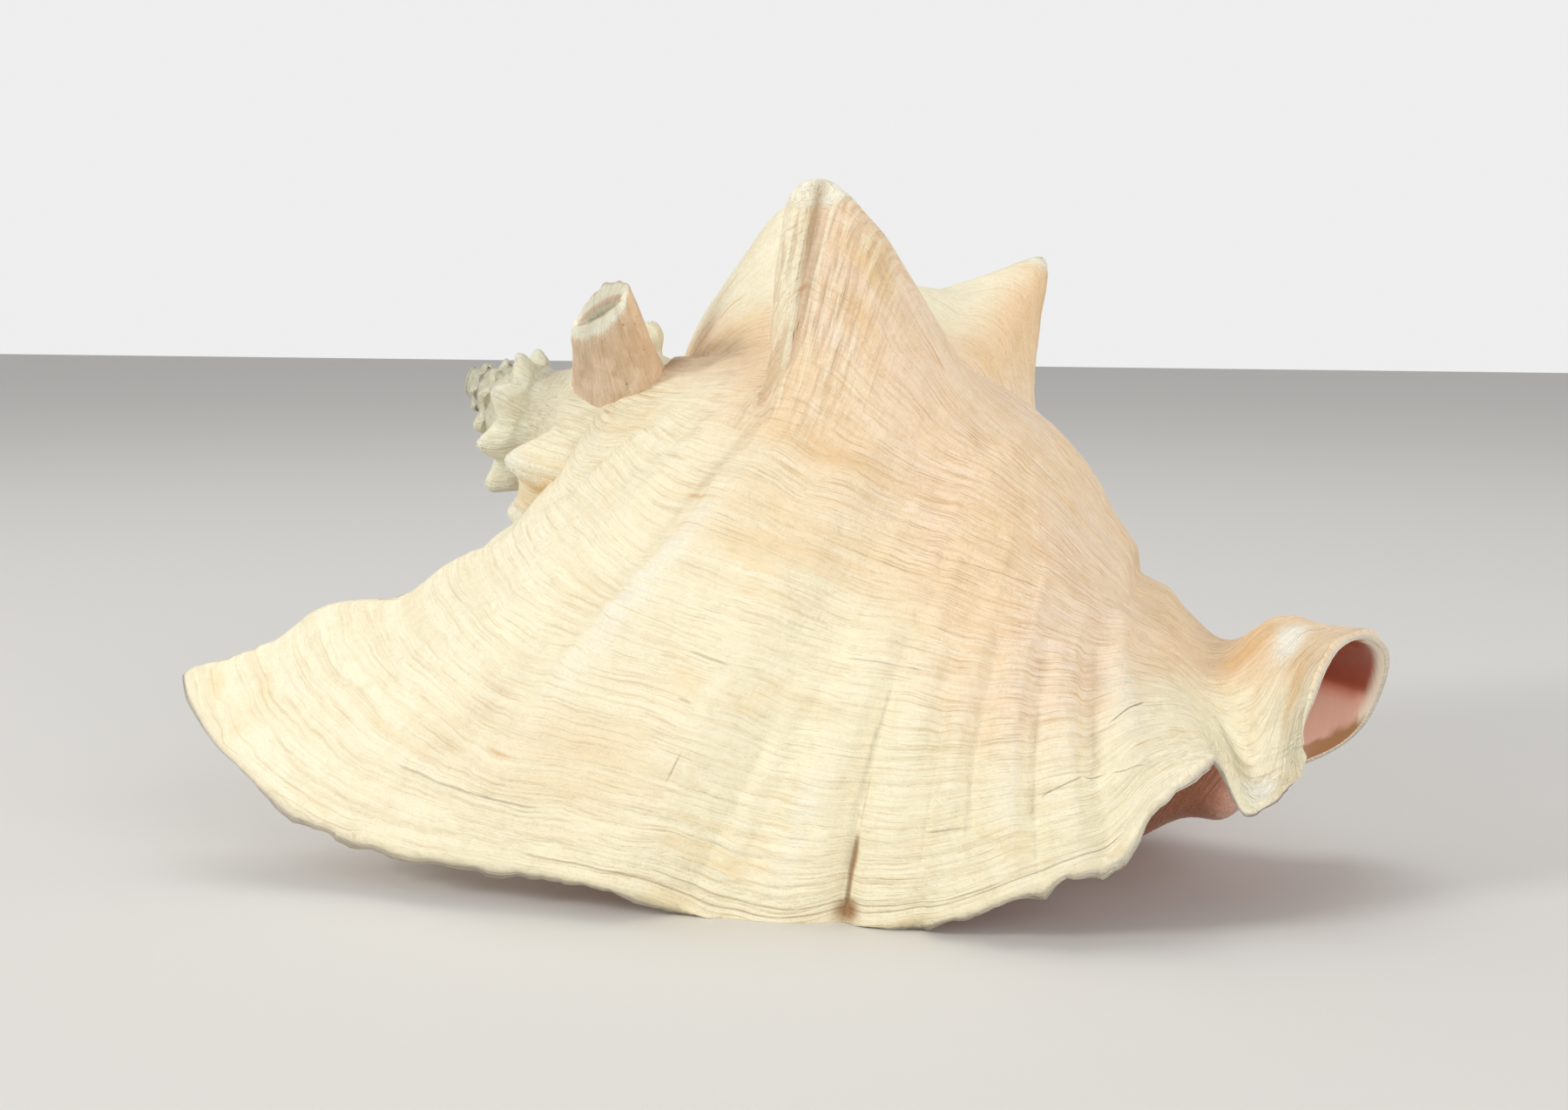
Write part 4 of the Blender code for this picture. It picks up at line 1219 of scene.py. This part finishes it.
class Graph:
    """Adds and joins the nodes of a material or of the world."""

    def __init__(self, owner: Union[bpy.types.Material, bpy.types.World]) -> None:
        """Opens the owner's nodes."""
        owner.use_nodes = True
        self.nodes = owner.node_tree.nodes
        self.links = owner.node_tree.links

    def put(self, socket: bpy.types.NodeSocket, value: Union[Value, Colour]) -> None:
        """Joins a socket to a signal, or sets it to a number or a colour."""
        if isinstance(value, Signal):
            self.links.new(value.socket, socket)
        else:
            socket.default_value = linear(value) if isinstance(value, tuple) else value

    def add(
        self, kind: str, output: Union[str, int], inputs: Union[dict, None] = None, **settings: str
    ) -> Signal:
        """Adds a node.

        Args:
            kind: The node's type, without what all types start with.
            output: Name or number of the output that is used.
            inputs: Values by name or number of the input.
            **settings: The node's own settings.

        Returns:
            The output's signal.
        """
        node = self.nodes.new(f"ShaderNode{kind}")
        for name, setting in settings.items():
            setattr(node, name, setting)
        for key, value in (inputs or {}).items():
            self.put(node.inputs[key], value)
        return Signal(self, node.outputs[output])

    def mask(self, name: str) -> Signal:
        """Reads a mask of the mesh."""
        return self.add("Attribute", "Fac", attribute_name=name)

    def math(self, operation: str, first: Value, second: Value = 0.0) -> Signal:
        """Works out one sum."""
        return self.add("Math", "Value", {0: first, 1: second}, operation=operation)

    def vector(self, x: Value, y: Value) -> Signal:
        """Joins two values to a vector."""
        return self.add("CombineXYZ", "Vector", {0: x, 1: y})

    def mix(self, share: Value, first: Colour, second: Colour) -> Signal:
        """Blends two colours. In the Mix node inputs 6 and 7 and output 2 are the colours."""
        return self.add("Mix", 2, {"Factor": share, 6: first, 7: second}, data_type="RGBA")

    def bump(self, height: Signal, distance: float) -> Signal:
        """Turns heights into a shaded relief, distance metres high."""
        return self.add("Bump", "Normal", {"Strength": 1.0, "Distance": distance, "Height": height})


@dataclass(frozen=True)
class Crack:
    """A thin dark line along a growth line, or across them where it crosses is true."""

    at: float
    start: float
    end: float
    width: float
    depth: float
    crosses: bool = False
    slope: float = 0.0


@dataclass(frozen=True)
class ShellFinish:
    """The shell's own finish: matt limy outside with growth lines, glossy rose inside."""

    cream: Rgb = (252, 244, 214)
    peach: Rgb = (249, 224, 188)
    pale_rose: Rgb = (249, 228, 204)
    stain: Rgb = (244, 208, 140)
    line: Rgb = (206, 166, 118)
    pale_line: Rgb = (214, 188, 138)
    chalk: Rgb = (252, 250, 236)
    worn: Rgb = (251, 246, 224)
    speck: Rgb = (196, 186, 110)
    tan: Rgb = (236, 192, 134)
    shade: Rgb = (230, 196, 150)
    pale_shade: Rgb = (236, 220, 182)
    # Painted shade in the furrows between the cords at the first spine's foot.
    furrow_shade: Rgb = (206, 174, 136)
    rust: Rgb = (206, 148, 74)
    # Brown of dirt, also used to paint shade in hollows and creases.
    dirt_and_shade: Rgb = (166, 128, 88)
    crust: Rgb = (174, 122, 76)
    ivory: Rgb = (255, 252, 226)
    dusty: Rgb = (238, 212, 182)
    dusty_dark: Rgb = (220, 188, 154)
    pit: Rgb = (150, 118, 90)
    rose: Rgb = (226, 158, 132)
    deep_rose: Rgb = (206, 112, 84)
    # Deep red of the canal's lining, darkened with painted shade on the canal's upper wall.
    canal_red_and_shade: Rgb = (152, 58, 18)
    callus: Rgb = (204, 136, 104)
    canal_floor: Rgb = (232, 178, 156)
    crack: Rgb = (132, 88, 44)
    # The layers of the rim, pale and dark ones: lit colours at the ends of the lip, and darker copies along
    # its middle that paint the shade on the downturned edge.
    lit_rim: tuple[Rgb, Rgb] = ((254, 244, 224), (240, 220, 194))
    shaded_rim: tuple[Rgb, Rgb] = ((242, 234, 212), (212, 198, 170))
    outer_roughness: float = 0.62
    inner_roughness: float = 0.32
    inner_coat: float = 0.16
    coat_roughness: float = 0.12
    # Height of the relief in metres.
    outer_relief: float = 0.0010
    inner_relief: float = 0.00012
    cracks: tuple[Crack, ...] = (
        Crack(0.1803, 0.2050, 0.2165, 0.00038, 0.55, slope=-0.28),
        Crack(0.1932, 0.1865, 0.1985, 0.00021, 0.39, slope=-0.26),
        Crack(0.1900, 0.1975, 0.2045, 0.00021, 0.39, slope=0.33),
        Crack(0.1920, 0.2040, 0.2130, 0.00021, 0.33, slope=0.85),
        Crack(0.1515, 0.1515, 0.1800, 0.00016, 0.25, slope=-0.07),
        Crack(0.1710, 0.1340, 0.1530, 0.00016, 0.28),
        Crack(0.1370, 0.1140, 0.1380, 0.00016, 0.22),
        Crack(0.1480, 0.1860, 0.1960, 0.00034, 0.19, crosses=True, slope=0.09),
        Crack(0.1486, 0.1950, 0.2095, 0.00080, 0.8, crosses=True, slope=0.09),
        Crack(0.1310, 0.0778, 0.0794, 0.00080, 0.8),
        Crack(0.1315, 0.0750, 0.0760, 0.00090, 0.6),
        Crack(0.1112, 0.1890, 0.1950, 0.00030, 0.33, crosses=True),
        Crack(0.1770, 0.0985, 0.1115, 0.00026, 0.33),
        Crack(0.1835, 0.1030, 0.1085, 0.00026, 0.33),
        Crack(0.2015, 0.0655, 0.0905, 0.00026, 0.33),
        Crack(0.1955, 0.1615, 0.1715, 0.00022, 0.33),
        Crack(0.2080, 0.0900, 0.2050, 0.00021, 0.33),
        Crack(0.2062, 0.1150, 0.1800, 0.00018, 0.28, slope=0.02),
    )


class ShellShader:
    """The nodes of one side of the wall: the patterns of growth, and the colours made of them."""

    def __init__(self, finish: ShellFinish, side: Side) -> None:
        """Starts the side's material with the patterns that its colours share."""
        self.finish = finish
        self.side = side
        self.material = bpy.data.materials.new("shell_inside" if side is Side.INNER else "shell_outside")
        graph = self.graph = Graph(self.material)
        growth_map = graph.add("UVMap", "UV", uv_map="growth")
        self.across, self.along = (graph.add("SeparateXYZ", axis, {0: growth_map}) for axis in "XY")
        self.place = graph.add("TexCoord", "Object")
        self.wide = self.place.noise(26, 3)
        self.stray = (self.place.noise(40, 3) - 0.5) * 0.0040
        self.bent = self.across + self.stray
        self.fine = self.lines(0.018, 2600, 2, 0.6)
        self.bands = self.lines(0.06, 250, 4, 0.6)
        self.stripes = self.lines(0.025, 1350, 2, 0.55)
        self.cords = graph.vector(self.across * 0.25, self.along).noise(620)
        self.grain = self.place.noise(1500, 3, 0.6)
        self.mottle = self.place.noise(330, 4, 0.62)
        self.rough_edge = (self.grain - 0.5) * 0.6

    def lines(self, length: float, scale: float, detail: float, roughness: float) -> Signal:
        """Grain that is drawn out along the growth lines: the lower the length, the longer it is."""
        return self.graph.vector(self.bent, self.along * length).noise(scale, detail, roughness)

    def build(self) -> bpy.types.Material:
        """Makes the side's material."""
        finish, graph = self.finish, self.graph
        surface = graph.nodes["Principled BSDF"].inputs
        colour, height = self.outside()
        if self.side is Side.INNER:
            colour = self.inside(colour)
            graph.put(surface["Roughness"], finish.inner_roughness)
            graph.put(surface["Coat Weight"], finish.inner_coat)
            graph.put(surface["Coat Roughness"], finish.coat_roughness)
            normal = graph.bump(self.bands, finish.inner_relief)
        else:
            rough = (self.grain - 0.5) * 0.2 + finish.outer_roughness
            graph.put(surface["Roughness"], rough - graph.mask("callus") * 0.35)
            normal = graph.bump(height, finish.outer_relief)
        graph.put(surface["Base Color"], colour)
        graph.put(surface["Normal"], normal)
        return self.material

    def outside(self) -> tuple[Signal, Signal]:
        """The outer face's colour, and the height of its relief from 0 to 1."""
        finish, mix, mask, place = self.finish, self.graph.mix, self.graph.mask, self.place
        bands, along = self.bands, self.along
        worn, depth = mask("worn"), mask("depth")
        new = 1.0 - mask("old")
        colour, pores = self.aged(self.fresh())
        crack = self.cracks()
        colour = mix(crack * new, colour, finish.crack)
        torn = (place.noise(240, 3, 0.6) - 0.5) * 1.1
        ragged = (worn + self.rough_edge + torn * worn.ease(0.0, 0.3)).ease(0.25, 0.80)
        specks = place.cells(650).ease(0.24, 0.08) * 0.8
        colour = mix(ragged, colour, mix(specks, finish.worn, finish.speck))
        lining = mix(mask("lining"), finish.callus, finish.canal_floor)
        colour = mix(mask("callus") * (bands * 0.5 + 0.75), colour, lining)
        # Brown dirt, and painted shade, where the brown patches lie.
        dirt_and_shade = (mask("brown_and_shade") + self.rough_edge * 0.4).ease(0.05, 0.95)
        colour = mix(dirt_and_shade * bands.ease(0.15, 0.5), colour, finish.dirt_and_shade)
        rim = depth.ease(0.12, 0.4) * new
        # Painted shade: the rim's middle, which faces down, takes the darker layers.
        shaded = along.ease(0.055, 0.075) * along.ease(0.225, 0.205)
        sheets = self.graph.vector(depth * 0.012, along * 0.05).noise(1500, 3, 0.6)
        layered = sheets.ease(0.4, 0.7)
        rim_colour = mix(shaded, mix(layered, *finish.lit_rim), mix(layered, *finish.shaded_rim))
        height = self.fine * 0.30 + self.stripes * 0.42 + bands * 0.40
        height = height + self.cords * (mask("fan") * 1.3 + 0.14) + self.grain * 0.12 + self.mottle * 0.90
        height = height - crack * 0.5 - pores * 0.35 + place.cells(700) * ragged * 0.4 + sheets * rim * 0.5
        return mix(rim, colour, rim_colour), height

    def cracks(self) -> Signal:
        """Adds up the cracks: 1 in the deepest and 0 beside them."""
        total: Value = 0.0
        for crack in self.finish.cracks:
            first, second = (self.along, self.across) if crack.crosses else (self.across, self.along)
            straight = (second - crack.start) * crack.slope
            wobble = self.stray * 0.5 * (0.6 if crack.crosses else 1.0)
            offset = first + wobble - crack.at - straight
            near = self.graph.math("ABSOLUTE", offset).ease(crack.width, 0.0)
            fade = min(0.0025, 0.4 * (crack.end - crack.start))
            inside = second.ease(crack.start, crack.start + fade) * second.ease(crack.end, crack.end - fade)
            total = self.graph.math("MAXIMUM", total, near * inside * crack.depth)
        return total

    def fresh(self) -> Signal:
        """The last whorl's colour: cream and peach with growth lines, tan bands, chalk and dirt."""
        finish, mix, mask, place = self.finish, self.graph.mix, self.graph.mask, self.place
        bands, stripes, cords, fine = self.bands, self.stripes, self.cords, self.fine
        cream, fan = mask("cream"), mask("fan")
        creamy = cream.ease(0.2, 0.9)
        body = mix(self.wide.ease(0.38, 0.66), finish.peach, finish.pale_rose)
        unrest = (bands - 0.5) * 0.6 + (self.wide - 0.5) * 0.6
        colour = mix((cream + unrest).ease(0.1, 0.9), body, finish.cream)
        colour = mix(mask("tan") * bands.ease(0.30, 0.62), colour, finish.tan)
        stained = place.noise(42, 3, 0.6).ease(0.50, 0.72) * bands.ease(0.44, 0.62)
        colour = mix(stained * (0.60 - cream * 0.15), colour, finish.stain)
        lively = 1.0 - mask("calm") * 0.7
        shade = mix(creamy, finish.shade, finish.pale_shade)
        colour = mix(stripes.ease(0.47, 0.62) * ((0.46 - cream * 0.06) * lively), colour, shade)
        colour = mix(self.mottle.ease(0.48, 0.66) * 0.30, colour, shade)
        # At the first spine's foot the cords' furrows get painted shade, and their ridges a paler cream that
        # is chalk with painted highlight.
        colour = mix(cords.ease(0.52, 0.40) * fan * 0.50, colour, finish.furrow_shade)
        colour = mix(cords.ease(0.54, 0.66) * fan * 0.60, colour, finish.cream)
        thin = fine.ease(0.52, 0.64) * place.noise(110).ease(0.30, 0.60)
        line = mix(creamy, finish.line, finish.pale_line)
        colour = mix(thin * (0.60 - cream * 0.20) * lively, colour, line)
        rusty = self.lines(0.05, 420, 3, 0.6).ease(0.63, 0.70) * place.noise(55).ease(0.48, 0.62)
        colour = mix(rusty * 0.6, colour, finish.rust)
        flakes = mask("chalk") + (stripes - 0.5) * 1.2 + self.rough_edge
        return mix(flakes.ease(0.20, 0.95) * 0.90, colour, finish.chalk)

    def aged(self, fresh: Signal) -> tuple[Signal, Signal]:
        """Colours the old whorls: ivory on the spire, dusty tan on the broken spine.

        Args:
            fresh: The colour of the last whorl.

        Returns:
            The colour, and how deep the pores are.
        """
        finish, mix, mask, place = self.finish, self.graph.mix, self.graph.mask, self.place
        old = mask("old")
        dusty = old * mask("cream").ease(0.6, 0.2)
        ivory = mix(place.noise(300, 3).ease(0.35, 0.7), finish.ivory, finish.cream)
        pores = place.cells(520).ease(0.22, 0.06) * self.grain.ease(0.45, 0.60)
        pores = pores * place.noise(190).ease(0.45, 0.62) * dusty
        tan = mix(place.noise(170, 4, 0.65).ease(0.35, 0.7), finish.dusty, finish.dusty_dark)
        tan = mix(pores * 0.8, tan, finish.pit)
        return mix(dusty, mix(old, fresh, ivory), tan), pores

    def inside(self, outside: Signal) -> Signal:
        """Blends the outer colour at the rim into the glossy rose further in."""
        finish, mix, mask = self.finish, self.graph.mix, self.graph.mask
        rose, lining = mask("rose"), mask("lining")
        deep = mix(rose.ease(0.55, 1.0), finish.rose, finish.deep_rose)
        # The canal's upper wall gets the deep red, which holds painted shade; its floor gets a paler lining.
        deep = mix(mask("canal"), deep, finish.canal_red_and_shade)
        deep = mix(lining, deep, finish.canal_floor)
        toned = rose + (self.bands - 0.5) * 0.25 + (self.wide - 0.5) * 0.3
        lined = mix(toned.ease(0.05, 0.6), outside, deep)
        # The chipped edge under the canal keeps a brown crust.
        brown_and_shade = mask("brown_and_shade") * lining
        ragged = brown_and_shade + (self.bands - 0.5) * 0.3
        return mix(ragged.ease(0.12, 0.32) * brown_and_shade.ease(0.04, 0.14), lined, finish.crust)


# ---------------------------------------------------------------- studio


@dataclass
class Lamp:
    """A soft square lamp."""

    name: str
    place: Point
    size: float
    watts: float
    colour: Point = (1.0, 1.0, 1.0)
    aim: Point = (0.0, 0.0, 0.05)

    def build(self) -> None:
        """Hangs the lamp and turns it to what it lights."""
        data = bpy.data.lights.new(self.name, "AREA")
        data.size = self.size
        data.energy = self.watts
        data.color = self.colour
        lamp = bpy.data.objects.new(self.name, data)
        bpy.context.scene.collection.objects.link(lamp)
        lamp.location = self.place
        toward = np.array(self.aim) - np.array(self.place)
        flat = math.hypot(toward[0], toward[1])
        lamp.rotation_euler = (math.atan2(flat, -toward[2]), 0.0, math.atan2(-toward[0], toward[1]))


@dataclass
class Studio:
    """A pale floor and surroundings, soft lamps and the camera."""

    floor_size: float = 6.0
    floor_colour: Rgb = (226, 224, 220)
    floor_roughness: float = 0.8
    # How bright the wall is that the camera sees, and the even light from all round.
    backdrop: float = 0.86
    ambient: float = 0.44
    white: Rgb = (255, 255, 255)
    camera_place: Point = (0.14665, -0.42908, 0.121)
    camera_turn: Point = (82.642, 0.0, 20.0)
    lens: float = 46.0
    sensor: float = 36.0
    clip_start: float = 0.01
    lamps: tuple[Lamp, ...] = (
        Lamp("key", (-1.0, -1.0, 0.72), 0.35, 9.2, (1.0, 0.99, 0.97)),
        Lamp("fill", (1.10, -0.80, 0.45), 1.1, 9.0, (1.0, 0.99, 0.98)),
        Lamp("top", (-0.1, 0.35, 1.4), 0.8, 4.4),
    )

    def build(self) -> None:
        """Builds all of the studio."""
        self.floor()
        self.surroundings()
        for lamp in self.lamps:
            lamp.build()
        self.camera()
        bpy.context.scene.view_settings.view_transform = "Standard"

    def floor(self) -> None:
        """Lays the plain floor."""
        shape = bmesh.new()
        bmesh.ops.create_grid(shape, x_segments=1, y_segments=1, size=self.floor_size / 2)
        floor = new_piece("floor", mesh_of("floor", shape))
        material = bpy.data.materials.new("floor")
        graph = Graph(material)
        surface = graph.nodes["Principled BSDF"].inputs
        graph.put(surface["Base Color"], self.floor_colour)
        graph.put(surface["Roughness"], self.floor_roughness)
        floor.data.materials.append(material)

    def surroundings(self) -> None:
        """Sets the even light from all round, and the pale wall that the camera and reflections see."""
        world = bpy.data.worlds.new("surroundings")
        graph = Graph(world)
        even, wall = (
            graph.add("Background", "Background", {"Color": self.white, "Strength": strength})
            for strength in (self.ambient, self.backdrop)
        )
        camera, glossy = (graph.add("LightPath", ray) for ray in ("Is Camera Ray", "Is Glossy Ray"))
        seen = graph.math("MAXIMUM", camera, glossy)
        both = graph.add("MixShader", "Shader", {0: seen, 1: even, 2: wall})
        graph.put(graph.nodes["World Output"].inputs["Surface"], both)
        bpy.context.scene.world = world

    def camera(self) -> None:
        """Stands the camera in front of the lip."""
        data = bpy.data.cameras.new("camera")
        data.lens = self.lens
        data.sensor_width = self.sensor
        data.clip_start = self.clip_start
        camera = bpy.data.objects.new("camera", data)
        bpy.context.scene.collection.objects.link(camera)
        camera.location = self.camera_place
        camera.rotation_euler = [math.radians(angle) for angle in self.camera_turn]
        bpy.context.scene.camera = camera


@dataclass
class ConchShell:
    """The whole dressed shell."""

    coil: Coil = field(default_factory=Coil)
    finish: ShellFinish = field(default_factory=ShellFinish)

    def parts(self) -> list[Callable[[], bpy.types.Object]]:
        """The builders of the shell's parts, in order."""
        return [BodyWhorl(self.coil).build, Spire(self.coil).build, BrokenSpine(self.coil).build]

    def build(self) -> list[bpy.types.Object]:
        """Builds and dresses every part, in place of the plain solid."""
        materials = [ShellShader(self.finish, side).build() for side in Side]
        pieces = []
        for build_part in self.parts():
            piece = build_part()
            for material in materials:
                piece.data.materials.append(material)
            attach(piece, "root")
            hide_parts("shell")
            LOG.info("%s: %d faces", piece.name, len(piece.data.polygons))
            pieces.append(piece)
        return pieces


def clear_scene() -> None:
    """Removes what the scene starts with."""
    for thing in list(bpy.data.objects):
        bpy.data.objects.remove(thing, do_unlink=True)


def main() -> None:
    """Builds the shell and the studio."""
    logging.basicConfig(level=logging.INFO, format="%(name)s: %(message)s")
    clear_scene()
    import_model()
    ConchShell().build()
    Studio().build()


if __name__ == "__main__":
    main()
